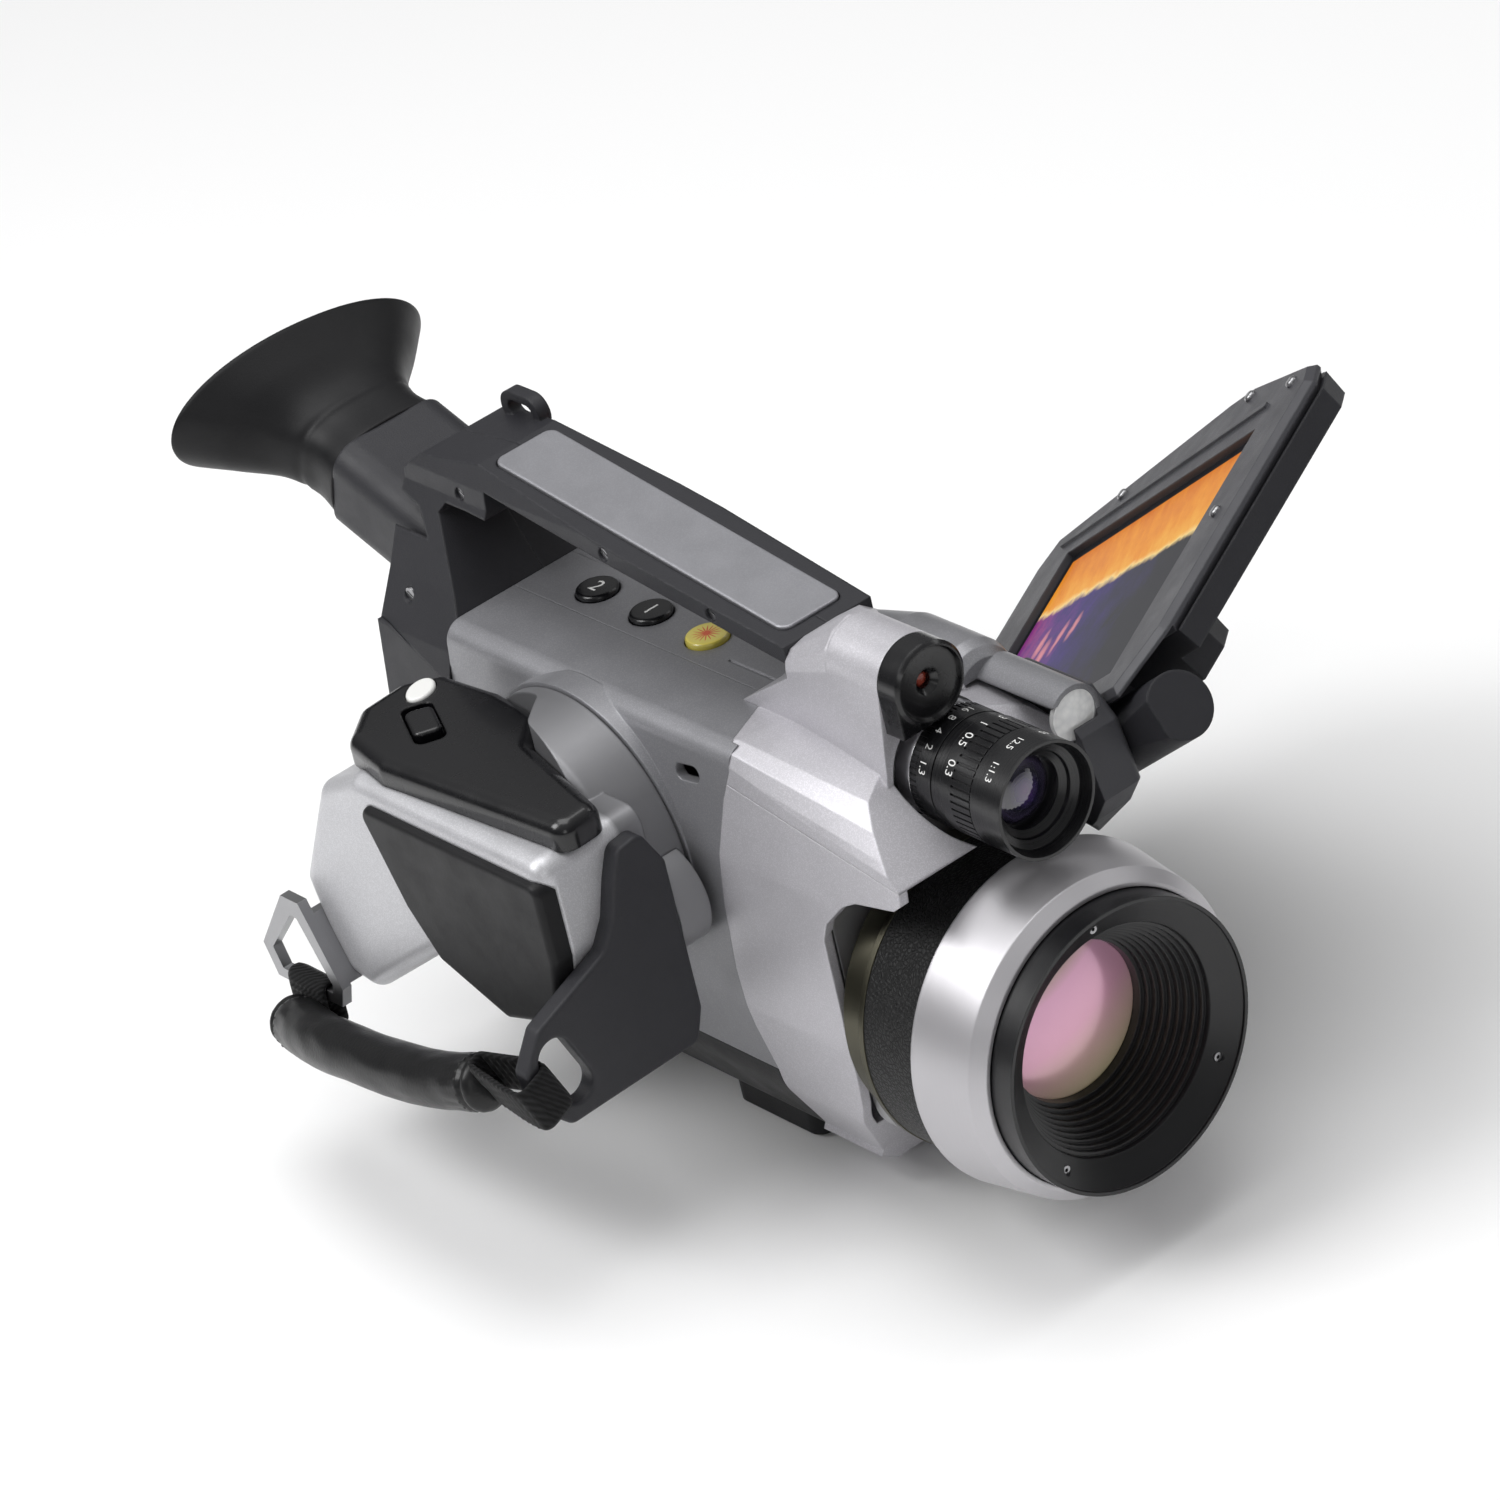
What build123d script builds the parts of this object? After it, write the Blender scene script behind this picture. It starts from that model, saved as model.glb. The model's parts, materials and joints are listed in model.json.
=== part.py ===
"""Handheld thermal imaging camera as an assembly of separate pieces.

Millimetres. Origin at the mouth of the tripod socket on the underside of the base,
+Z up, the lenses look along -Y, the side grip is at -X and the folding display at +X.
"""
from build123d import *
from math import atan2, cos, degrees, radians, sin
import os

# ---------------------------------------------------------------- driving dimensions
WALL = 2.5                      # moulded shell thickness
TOP_Z = 121.5                   # top deck of the body
SHELL_REAR = 77.0               # seam between body shells and rear housing
BODY_REAR = 105.0               # rear face of the rear housing
BELLY_Z = 32.0                  # seam between side shells and belly tub
BELLY_BOTTOM = 8.0
DECK_HALF = 9.0                 # half width of the button deck strip
DECK_T = 2.5

LENS_Y = -115.0                 # front rim of the infrared lens
LENS_Z = 55.0                   # infrared lens axis
TV_Y = -104.0                   # front rim of the daylight lens
TV_Z = 116.5
LASER_X, LASER_Z, LASER_Y, LASER_R = -4.5, 140.6, -77.0, 10.0
LAMP_X, LAMP_Z, LAMP_Y, LAMP_R = 28.0, 116.5, -82.0, 7.4

BUTTON_Y = (14.5, 35.5, 56.0)   # laser, one, two
BUTTON_R = 5.3
BUTTON_GAP = 0.3

GRIP_Y, GRIP_Z = 27.0, 86.0     # rotation axis of the side grip, along X
GRIP_R = 35.0
GRIP_X0, GRIP_X1 = -34.3, -76.0

EYE_TILT = 19.0                 # rise of the viewfinder tube
EYE_Y, EYE_Z = 98.0, 122.0      # tilt axis of the viewfinder
SOCKET_R = 3.175
SOCKET_DEPTH = 9.0

LCD_PITCH, LCD_TOE, LCD_FOLD = 35.0, 4.0, 65.0
LCD_ORIGIN = (82.5, -21.0, 95.5)
SCREEN_U, SCREEN_V = 114.0, 71.0
HINGE_V, HINGE_W = -41.0, -12.0
PIVOT_U = 50.0

parts = {}


# ---------------------------------------------------------------- shared shapes
def turned(points, x, z):
    """Solid of revolution about a line parallel to Y through (x, z); points are (y, r)."""
    with BuildPart() as body:
        with BuildSketch(Plane.YZ.offset(x)):
            with BuildLine():
                Polyline(*[(y, z + r) for y, r in points], close=True)
            make_face()
        revolve(axis=Axis((x, 0, z), (0, 1, 0)))
    return body.part


def tube(y0, y1, r_out, r_in, x, z):
    """Ring or rod between two Y planes."""
    return turned([(y0, r_in), (y0, r_out), (y1, r_out), (y1, r_in)], x, z)


def profile_x(points, x0, x1):
    """Side profile of (y, z) points swept across the width."""
    with BuildPart() as body:
        with BuildSketch(Plane.YZ.offset(x0)):
            with BuildLine():
                Polyline(*points, close=True)
            make_face()
        extrude(amount=x1 - x0)
    return body.part


def profile_y(points, y0, y1):
    """Front view profile of (x, z) points swept along the depth."""
    with BuildPart() as body:
        with BuildSketch(Plane.XZ.offset(-y1)):
            with BuildLine():
                Polyline(*points, close=True)
            make_face()
        extrude(amount=y1 - y0)
    return body.part


def block(x0, x1, y0, y1, z0, z1):
    """Box between six planes."""
    with BuildPart() as body:
        with Locations(((x0 + x1) / 2, (y0 + y1) / 2, (z0 + z1) / 2)):
            Box(x1 - x0, y1 - y0, z1 - z0)
    return body.part


BODY_HALF = [
    (0, TOP_Z), (30.3, TOP_Z), (33.6, 92), (33.6, 50), (30.5, 27), (20, BELLY_BOTTOM),
    (0, BELLY_BOTTOM),
]
BODY_ROUND = [5.0, 18.0, 18.0, 14.0, 8.0]


def body_bar(shrink, y0, y1):
    """Prism with the rounded cross-section of the body, inset by shrink."""
    outline = BODY_HALF[:-1] + [(-x, z) for x, z in reversed(BODY_HALF[1:-1])]
    with BuildPart() as body:
        with BuildSketch(Plane.XZ.offset(-y1)) as face:
            with BuildLine():
                Polyline(*outline, close=True)
            make_face()
            for (x, z), r in zip(BODY_HALF[1:-1], BODY_ROUND):
                for side in (x, -x):
                    fillet(face.vertices().sort_by_distance((side, z, 0))[0], radius=r)
            if shrink:
                offset(amount=-shrink, mode=Mode.REPLACE)
        extrude(amount=y1 - y0)
    return body.part


def body_shell(y0, y1):
    """Hollow length of the body wall."""
    with BuildPart() as body:
        add(body_bar(0, y0, y1))
        add(body_bar(WALL, y0 - 1, y1 + 1), mode=Mode.SUBTRACT)
    return body.part


def keep(part, zone):
    """Common volume of two shapes."""
    with BuildPart() as body:
        add(part)
        add(zone, mode=Mode.INTERSECT)
    return body.part


def cut(part, *tools):
    """A shape less its tools."""
    with BuildPart() as body:
        add(part)
        for tool in tools:
            add(tool, mode=Mode.SUBTRACT)
    return body.part


def join(*pieces):
    """One shape from several that meet."""
    with BuildPart() as body:
        for piece in pieces:
            add(piece)
    return body.part


# ---------------------------------------------------------------- front cowl
# The rear edge of the cowl runs as an arc down each side and as a tongue on the deck.
SEAM_ARC = [
    (-120, 133), (-30, 133), (-29, 116), (-25.5, 108), (-21, 93), (-18, 78), (-16.5, 60),
    (-17.5, 44), (-20, BELLY_Z), (-20, -5), (-120, -5),
]
cowl_zone = join(
    profile_x(SEAM_ARC, -60, 60),
    profile_y([(-27, 113), (27, 113), (27, 133), (-27, 133)], -60, -27),
    turned([(-40, 0), (-40, 27), (-27, 27), (-14, 0.0)], 0, 122.0).intersect(
        block(-27, 27, -45, 0, 114, 133)),
)
upper_zone = profile_x([(-120, 99), (-87, 103.5), (-27, 112.5), (10, 118), (10, 190), (-120, 190)],
                       -60, 60)
face_zone = profile_x([(-88.5, 90), (-88.5, 102), (-60.5, 126), (10, 190), (30, 0), (-66, 0),
                       (-66, 90)], -60, 60)
lower_front = profile_x([(-36, -5), (-39, 8), (-46, 21), (-51, 33), (-54, 45), (-54.8, 60),
                         (-54.9, 81), (-57.5, 86.5), (-65, 93.5), (-70, 96), (-84, 98.6),
                         (-86.6, 100.5), (-86.6, 130), (10, 130), (10, -5)], -60, 60)
HOOD_Y = LASER_Y + 7            # front of the silver hood, behind the black bezel
HUMP_REAR = [(-13.5, 118), (-14, 135.5), (-13.5, 138), (-11.5, 140.2), (-7, 141.2), (3, 141.3),
             (9.5, 140.8), (13.8, 137.5), (13.5, 118)]
hood_arc = [(LASER_X + LASER_R * cos(radians(a)), LASER_Z + LASER_R * sin(radians(a)))
            for a in (180, 150, 120, 90, 60, 30, 0)]
HUMP_MIDDLE = [(-15.2, 118), *hood_arc, (13, 118)]
HUMP_FRONT = [(-17.5, 118), *hood_arc, (13, 118)]
hump_side = profile_x([(-14, 121), (-35.3, 133.8), (-35.3, 155), (-80, 155), (-80, 117),
                       (-14, 117)], -24, 24)
with BuildPart() as hump_block:
    for y, points in ((-35.3, HUMP_REAR), (-51, HUMP_MIDDLE), (HOOD_Y, HUMP_FRONT)):
        with BuildSketch(Plane.XZ.offset(-y)):
            with BuildLine():
                Polyline(*points, close=True)
            make_face()
    loft(ruled=True)
hump_rear = keep(profile_y(HUMP_REAR, -35.3, -8), hump_side)
laser_hood = tube(HOOD_Y, -52, LASER_R, 0, LASER_X, LASER_Z)
tv_scoop = tube(-130, TV_Y + 41, 15.8, 0, 0, TV_Z)
ir_scoop = tube(-130, -55, 42.2, 0, 0, LENS_Z)


def cheek_tool(side, drop=0.0):
    """Wedge that turns the deck edge into the falling flank of the cowl, sunk by drop."""
    rear = [(11, 121.6), (25.8, 121.6), (29.4, 120.4), (31.1, 117.0), (31.8, 112.4), (50, 112.4),
            (50, 135), (11, 135)]
    front = [(17.5, 120.5), (22.5, 115.9), (27, 111), (30.5, 107.1), (33.7, 103.6), (50, 103.6),
             (50, 135), (17.5, 135)]
    with BuildPart() as body:
        for y, points in ((-27 - drop, rear), (-92, front)):
            with BuildSketch(Plane.XZ.offset(-y)):
                with BuildLine():
                    Polyline(*[(side * (x - drop), z - drop) for x, z in points], close=True)
                make_face()
        loft(ruled=True)
    return body.part


cheek_slope = join(cheek_tool(-1), cheek_tool(1))
cheek_inner = join(cheek_tool(-1, 2.4), cheek_tool(1, 2.4))
cowl_shape = join(
    cut(keep(body_bar(0, -90, -5), face_zone), cheek_slope),
    hump_block.part, hump_rear, laser_hood)
cowl_core = join(keep(body_bar(WALL, -100, -4), block(-60, 60, -100, 0, 24, 130)),
                 body_bar(WALL, -34, -4))
front_cowl_upper = cut(
    keep(keep(cowl_shape, join(cowl_zone, block(-60, 60, -90, -13.9, TOP_Z + 0.02, 160))), upper_zone),
    cut(keep(body_bar(WALL, -60.5, 0), block(-40, 40, -62, 10, 80, TOP_Z - 5.5)), cheek_inner),
    tv_scoop, ir_scoop,
    tube(HOOD_Y - 1, -57, 8.0, 0, LASER_X, LASER_Z),
    tube(-72, -40, 9.0, 0, 0, TV_Z),
)
front_cowl_lower = cut(
    keep(keep(keep(cut(body_bar(0, -90, -5), cowl_core), cowl_zone),
              lower_front), block(-60, 60, -100, 0, -5, 115)),
    upper_zone, ir_scoop)
chin = cut(
    keep(profile_x([(-31, 0), (-21, 0), (-20, 4), (-20, 12), (-42, 14), (-40, 7)], -60, 60),
         profile_y([(-7, 0), (7, 0), (23, 10.5), (20, 16), (-20, 16), (-23, 10.5)], -70, 0)),
    ir_scoop, cowl_core)
front_cowl_lower = join(front_cowl_lower, chin)
parts["front_cowl_upper"] = front_cowl_upper
parts["front_cowl_lower"] = front_cowl_lower

# ---------------------------------------------------------------- body shells
deck_strip = block(-DECK_HALF, DECK_HALF, -40, SHELL_REAR, TOP_Z - DECK_T, TOP_Z + 5)
shell_ring = cut(body_shell(-40, SHELL_REAR), cowl_zone)
with BuildPart() as slot_cut:
    with BuildSketch(Plane.YZ.offset(-40)):
        with Locations((-12.8, 110.8)):
            SlotOverall(9.0, 4.2, rotation=-8)
    extrude(amount=12)
upper_half = block(-60, 60, -60, 90, BELLY_Z, 130)
with BuildPart() as grip_axle_hole:
    with BuildSketch(Plane.YZ.offset(-60)):
        with Locations((GRIP_Y, GRIP_Z)):
            Circle(14.0)
    extrude(amount=60)
parts["right_shell"] = cut(
    keep(shell_ring, keep(upper_half, block(-60, 0, -60, 90, 0, 130))),
    deck_strip, slot_cut.part, grip_axle_hole.part)
with BuildPart() as door_opening:
    with BuildSketch(Plane.YZ.offset(0)):
        with Locations((42, 71)):
            RectangleRounded(56, 27, 4)
        with Locations((42, 99)):
            RectangleRounded(50, 16, 3)
    extrude(amount=60)
parts["left_shell"] = cut(
    keep(shell_ring, keep(upper_half, block(0, 60, -60, 90, 0, 130))),
    deck_strip, door_opening.part)
with BuildPart() as button_holes:
    with BuildSketch(Plane.XY.offset(100)):
        with Locations(*[(0, y) for y in BUTTON_Y]):
            Circle(BUTTON_R + BUTTON_GAP)
    extrude(amount=40)
parts["top_deck"] = cut(keep(cut(body_bar(0, -40, SHELL_REAR), cowl_zone), deck_strip),
                        button_holes.part, block(-4.2, -3.4, -15, 2, TOP_Z - 0.4, TOP_Z + 1))

# ---------------------------------------------------------------- base and tripod socket
with BuildPart() as socket:
    with BuildSketch(Plane.XY):
        Circle(6.5)
    extrude(amount=SOCKET_DEPTH + 2)
    with BuildSketch(Plane.XY):
        Circle(SOCKET_R)
    extrude(amount=SOCKET_DEPTH, mode=Mode.SUBTRACT)
socket_core = Pos(0, 0, 0) * Cylinder(6.5, SOCKET_DEPTH + 2,
                                      align=(Align.CENTER, Align.CENTER, Align.MIN))
with BuildPart() as base_block:
    with BuildSketch(Plane.XY.offset(1.2)):
        with Locations((0, 6)):
            RectangleRounded(36, 32, 4)
    extrude(amount=BELLY_BOTTOM - 1.2)
    with BuildSketch(Plane.XY):
        with Locations((0, 6)):
            RectangleRounded(34, 30, 4)
    extrude(amount=1.2)
    add(socket_core, mode=Mode.SUBTRACT)
parts["base_block"] = base_block.part
parts["tripod_socket"] = socket.part
parts["belly_tub"] = cut(
    join(cut(keep(body_shell(-40, SHELL_REAR), block(-60, 60, -60, 90, 0, BELLY_Z)), cowl_zone),
         block(-10, 10, -10, 10, BELLY_BOTTOM + 1, BELLY_BOTTOM + 7)),
    socket_core)

# ---------------------------------------------------------------- rear housing and handle
HANDLE_SEAM = [(77, 106), (101, 114.5), (BODY_REAR + 5, 116)]
rear_bar = cut(body_bar(0, SHELL_REAR, BODY_REAR), body_bar(WALL, SHELL_REAR - 1, BODY_REAR - 3))
seam_zone = profile_x([(60, 100), *HANDLE_SEAM, (BODY_REAR + 5, 190), (60, 190)], -60, 60)
pocket = profile_x([(90.5, 112), (90.5, 133), (97, 141), (130, 150), (130, 99), (97, 106)],
                   -19.5, 19.5)
parts["rear_housing"] = cut(rear_bar, seam_zone, pocket)
BAR_FRONT = (-35.3, 141.2)
BAR_REAR = (75, 156.4)
HANDLE_SIDE = [
    (-35.3, 133.8), (20, 141.4), (79, 144.2), (87.5, 144.2), (89.6, 141.5), (77, TOP_Z),
    (77, 106), (101, 114.5), (BODY_REAR, 115.2), (BODY_REAR, 140), (103.5, 149), (97, 153.6),
    BAR_REAR, BAR_FRONT,
]
HANDLE_FRONT = [
    (-33.7, 100), (-33.2, 106), (-30.6, 114), (-24, 126), (-14.5, 146), (-14, 150.5), (-10.5, 160),
]
handle_front = HANDLE_FRONT + [(-x, z) for x, z in reversed(HANDLE_FRONT)]
top_rise = (BAR_REAR[1] - BAR_FRONT[1]) / (BAR_REAR[0] - BAR_FRONT[0])
top_slope = degrees(atan2(top_rise, 1))
top_plane = Plane(origin=(0, 20, BAR_FRONT[1] + (20 - BAR_FRONT[0]) * top_rise),
                  x_dir=(1, 0, 0), z_dir=(0, -sin(radians(top_slope)), cos(radians(top_slope))))


def grip_taper(side):
    """Cut that leaves the carrying bar a slim edge and a slanted underside."""
    with BuildPart() as body:
        for y, half, z in ((-36, 13.0, 141.1), (72, 15.5, 156.0)):
            with BuildSketch(Plane.XZ.offset(-y)):
                with BuildLine():
                    Polyline((side * half, z + 8), (side * 40, z + 8), (side * 40, z - 22),
                             (side * 8.5, z - 22), (side * 8.5, z - 8), (side * half, z - 4.4),
                             close=True)
                make_face()
        loft(ruled=True)
        add(block(-60, 60, -60, 84, TOP_Z + 0.1, 170), mode=Mode.INTERSECT)
    return body.part


with BuildPart() as handle_blank:
    add(profile_x(HANDLE_SIDE, -34, 34))
    add(profile_y(handle_front, -36, 110), mode=Mode.INTERSECT)
    add(pocket, mode=Mode.SUBTRACT)
    add(join(body_bar(WALL, 70, 101.9), block(-1, 1, 80, 90, 100, 110)), mode=Mode.SUBTRACT)
    for side in (-1, 1):
        add(grip_taper(side), mode=Mode.SUBTRACT)
    with BuildSketch(top_plane):
        with Locations((0, 1)):
            RectangleRounded(18.6, 105, 3)
    extrude(amount=-1.2, mode=Mode.SUBTRACT)
HANDLE_SCREWS = [(-14.3, 27, 147.5), (-13.4, -10, 142.4), (-14.2, 82, 147.5), (-26.5, 96, 122)]
screw_set = []
for x, y, z in HANDLE_SCREWS:
    with BuildPart() as screw:
        with BuildSketch(Plane.YZ.offset(x + 0.6)):
            with Locations((y, z)):
                Circle(1.7)
        extrude(amount=3.6)
        with BuildSketch(Plane.YZ.offset(x + 0.6)):
            with Locations((y, z)):
                Rectangle(2.2, 0.5, rotation=35)
        extrude(amount=0.5, mode=Mode.SUBTRACT)
    screw_set.append(screw.part)
screw_wells = []
for x, y, z in HANDLE_SCREWS:
    with BuildPart() as well:
        with BuildSketch(Plane.YZ.offset(x - 6)):
            with Locations((y, z)):
                Circle(1.7)
        extrude(amount=10.2)
    screw_wells.append(well.part)
parts["handle_right_half"] = cut(keep(handle_blank.part, block(-60, 0, -60, 130, 90, 170)),
                                 *screw_wells)
parts["handle_left_half"] = keep(handle_blank.part, block(0, 60, -60, 130, 90, 170))
parts["handle_screws"] = Compound(screw_set)
with BuildPart() as handle_plate:
    with BuildSketch(top_plane.offset(-1.2)):
        with Locations((0, 1)):
            RectangleRounded(18.0, 104.4, 2.8)
    extrude(amount=1.9)
    fillet(handle_plate.faces().sort_by(Axis.Z)[-1].edges(), radius=0.5)
parts["handle_plate"] = handle_plate.part
with BuildPart() as strap_lug:
    with BuildSketch(Plane.YZ.offset(10)):
        with Locations((86, 156.6)):
            SlotOverall(15, 9)
            SlotOverall(9.5, 4.6, mode=Mode.SUBTRACT)
    extrude(amount=3.5)
parts["handle_left_half"] = join(parts["handle_left_half"],
                                 cut(strap_lug.part, handle_blank.part))

# ---------------------------------------------------------------- infrared lens
def ir(points):
    """Turned piece on the infrared axis; points are (distance behind the rim, radius)."""
    return turned([(LENS_Y + s, r) for s, r in points], 0, LENS_Z)


grooves = []
for step in range(9):
    s0 = 5.2 + step * 1.6
    r0 = 27.6 - step * 0.92
    grooves += [(s0, r0), (s0 + 0.8, r0), (s0 + 0.8, r0 - 0.92)]
ir_front = ir([(0, 35.1), (26, 35.1), (26, 21.3), (21, 21.3), (21, 19.0), *reversed(grooves),
               (4.6, 27.8), (0.7, 34.2), (0, 34.2)])
SET_ANGLES = (92, -36, -136)
set_pins = []
set_wells = []
for a in SET_ANGLES:
    px, pz = 31 * cos(radians(a)), LENS_Z + 31 * sin(radians(a))
    set_pins.append(tube(LENS_Y + 2.9, LENS_Y + 7.5, 1.1, 0.45, px, pz))
    set_wells.append(tube(LENS_Y - 1, LENS_Y + 7.5, 1.1, 0, px, pz))
parts["ir_front_tube"] = cut(ir_front, *set_wells)
parts["ir_set_screws"] = Compound(set_pins)
dome_arc = [(17.6 + (1 - cos(radians(a))) * 55, sin(radians(a)) * 55) for a in range(0, 21, 1)]
dome = ir([*[(s, r) for s, r in dome_arc if r < 18.9], (21.1, 18.9), (21.1, 21.2), (25.9, 21.2),
           (25.9, 0)])
parts["ir_front_element"] = dome
parts["ir_lens_cell"] = ir([(26, 21.5), (26, 26), (30, 26), (30, 23.5), (53, 17.5), (53, 0),
                            (50, 0), (50, 12), (30, 19.5), (29, 21.5)])
parts["ir_silver_ring"] = ir([(6.7, 35.4), (6.7, 36.4), (9.8, 39.2), (26.8, 41.5), (26.8, 36.3),
                              (31, 36.3), (31, 35.4)])
parts["ir_barrel"] = ir([(26.8, 36.3), (26.8, 38.7), (46.6, 38.7), (46.6, 34.5), (45.6, 34.5),
                         (45.6, 36.3)])
parts["ir_mount"] = ir([(46.6, 34.5), (46.6, 38.95), (48.2, 38.95), (48.2, 36), (57.0, 36),
                        (57.0, 31), (62.0, 31), (62.0, 28), (48.2, 28), (48.2, 34.5)])
front_wall = cut(keep(body_bar(3.7, -54, -50), block(-60, 60, -60, 0, 25, 107)),
                 tube(-60, 0, 31.1, 0, 0, LENS_Z))
with BuildPart() as detector:
    with Locations((0, -38, LENS_Z)):
        Box(44, 14, 44)
    with Locations((0, -45.9, LENS_Z)):
        Box(24, 1.8, 24)
parts["ir_detector"] = detector.part

# ---------------------------------------------------------------- daylight lens
def tv(points):
    """Turned piece on the daylight lens axis; points are (distance behind its rim, radius)."""
    return turned([(TV_Y + s, r) for s, r in points], 0, TV_Z)


def knurled(ring, s0, s1, r, count, depth):
    """Straight grooves cut round the outside of a ring."""
    with BuildPart() as body:
        add(ring)
        with BuildSketch(Plane.XZ.offset(-(TV_Y + s1))):
            with Locations((0, TV_Z)):
                with PolarLocations(r + 0.2, count):
                    Rectangle(2 * depth + 0.4, 0.55)
        extrude(amount=s1 - s0, mode=Mode.SUBTRACT)
    return body.part


tv_barrel = tv([(0, 13.2), (0, 14.0), (9.8, 14.0), (9.8, 11.0), (20.4, 11.0),
                         (20.4, 13.7), (23.4, 13.7), (23.4, 11.0), (36.5, 11.0), (36.5, 9.0),
                         (11, 9.0), (11, 8.6), (6.2, 8.6), (5.2, 10.2), (4.2, 10.4), (3.2, 12.2)])
parts["tv_focus_ring"] = knurled(tv([(10.1, 11.05), (10.1, 14.0), (20.1, 14.0), (20.1, 11.05)]),
                                 10.1, 16.6, 14.0, 48, 0.45)
parts["tv_iris_ring"] = knurled(tv([(23.7, 11.05), (23.7, 13.8), (30.9, 13.8), (30.9, 11.05)]),
                                28.4, 30.9, 13.8, 60, 0.4)
parts["tv_silver_ring"] = tv([(31.2, 11.0), (31.2, 13.6), (36.5, 13.6), (36.5, 11.0)])
tv_flange = cut(tv([(36.5, 8.0), (36.5, 13.95), (40.0, 13.95), (40.0, 12.5), (40.5, 8.9),
                    (46, 8.9), (46, 8.0)]), front_cowl_upper)
parts["tv_barrel"] = join(tv_barrel, tv_flange)
glass_arc = [(7.2 + (1 - cos(radians(a))) * 14, sin(radians(a)) * 14) for a in range(0, 37, 3)]
parts["tv_front_glass"] = tv([*glass_arc, (9.9, 8.55), (10.9, 8.55), (10.9, 0)])

# ---------------------------------------------------------------- laser pointer and lamp
bezel_round = turned(
    [(LASER_Y, 9.2), (LASER_Y + 0.8, 10.0), (HOOD_Y, 10.0), (HOOD_Y, 8.0), (-57, 8.0), (-57, 1.9),
     (LASER_Y + 3, 1.9), (LASER_Y + 1.6, 3.2), (LASER_Y + 1.2, 8.4), (LASER_Y, 8.8)],
    LASER_X, LASER_Z)
bezel_corner = cut(block(LASER_X - 10, LASER_X, LASER_Y + 0.8, HOOD_Y, LASER_Z - 9.9, LASER_Z),
                   tube(LASER_Y - 1, HOOD_Y + 1, 9.5, 0, LASER_X, LASER_Z))
parts["laser_bezel"] = join(bezel_round, bezel_corner)
parts["laser_diode"] = turned([(LASER_Y + 3.6, 0), (LASER_Y + 3.9, 1.2), (LASER_Y + 4.4, 1.9),
                               (-57.5, 1.9), (-57.5, 0)], LASER_X, LASER_Z)
lamp_barrel = join(
    tube(LAMP_Y, LAMP_Y + 27, LAMP_R, 0, LAMP_X, LAMP_Z),
    turned([(LAMP_Y + 26, 0), (LAMP_Y + 26, 8.4), (LAMP_Y + 28, 10.6), (LAMP_Y + 31, 11.6),
            (-30, 11.6), (-12, 7.5), (-6, 3.5), (-4.5, 0)], LAMP_X - 4, LAMP_Z))
lamp_under = profile_y([(LAMP_X - 6, 106), (LAMP_X + 6, 106), (LAMP_X + 6.5, LAMP_Z),
                        (LAMP_X - 6.5, LAMP_Z)], LAMP_Y + 6, -56)
lamp_cavity = turned([(LAMP_Y - 1, 0), (LAMP_Y - 1, 6.1), (LAMP_Y + 1.8, 6.1), (LAMP_Y + 6, 3.5),
                      (LAMP_Y + 8, 1.5), (LAMP_Y + 8, 0)], LAMP_X, LAMP_Z)
shoulder_blank = cut(join(lamp_barrel, lamp_under), lamp_cavity)
parts["lamp_shoulder"] = cut(shoulder_blank, front_cowl_upper, front_cowl_lower,
                             cut(body_bar(0, -40, 90), cowl_zone), body_bar(0.5, -90, 20),
                             tv_scoop)
parts["lamp_lens"] = turned([(LAMP_Y - 0.6, 0), (LAMP_Y - 0.2, 3.5), (LAMP_Y + 0.4, 5.6),
                             (LAMP_Y + 0.4, 6.1), (LAMP_Y + 1.7, 6.1), (LAMP_Y + 1.7, 0)],
                            LAMP_X, LAMP_Z)

# ---------------------------------------------------------------- push buttons on the deck
for name, y in zip(("laser_button", "button_one", "button_two"), BUTTON_Y):
    with BuildPart() as button:
        with BuildSketch(Plane.XY.offset(TOP_Z - 4.5)):
            with Locations((0, y)):
                Circle(BUTTON_R)
        extrude(amount=5.9)
        fillet(button.faces().sort_by(Axis.Z)[-1].edges(), radius=0.8)
        with BuildSketch(Plane.XY.offset(TOP_Z - 4.5)):
            with Locations((0, y)):
                Circle(BUTTON_R + 1.0)
        extrude(amount=1.2)
    parts[name] = button.part

# ---------------------------------------------------------------- electronics and battery
with BuildPart() as chassis:
    with Locations((0, 24, 31)):
        Box(50, 98, 2)
    for x in (-20, 20):
        with Locations((x, 24, 71)):
            Box(2, 98, 82)
parts["chassis"] = cut(chassis.part, block(10, 30, 12, 72, 38, 110),
                       block(-60, -2, GRIP_Y - 18, GRIP_Y + 18, GRIP_Z - 18, GRIP_Z + 18))
parts["chassis"] = join(parts["chassis"], front_wall,
                        block(-24, -8, -52, -24, 30, 32), block(8, 24, -52, -24, 30, 32),
                        block(-21, -19, -52, -24, 95, 105), block(19, 21, -52, -24, 95, 105))
parts["main_board"] = cut(block(-15, -13.4, -20, 70, 36, 104),
                          block(-60, -2, GRIP_Y - 18, GRIP_Y + 18, GRIP_Z - 18, GRIP_Z + 18))
parts["battery_pack"] = block(9.5, 29.0, 16, 68, 59, 83)
with BuildPart() as battery_door:
    with BuildSketch(Plane.YZ.offset(0)):
        with Locations((42, 71)):
            RectangleRounded(55.4, 26.4, 3.7)
    extrude(amount=60)
    add(body_shell(0, 75), mode=Mode.INTERSECT)
parts["battery_door"] = battery_door.part
with BuildPart() as port_door:
    with BuildSketch(Plane.YZ.offset(0)):
        with Locations((42, 99)):
            RectangleRounded(49.4, 15.4, 2.7)
    extrude(amount=60)
    add(body_shell(0, 75), mode=Mode.INTERSECT)
parts["port_door"] = port_door.part
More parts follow.
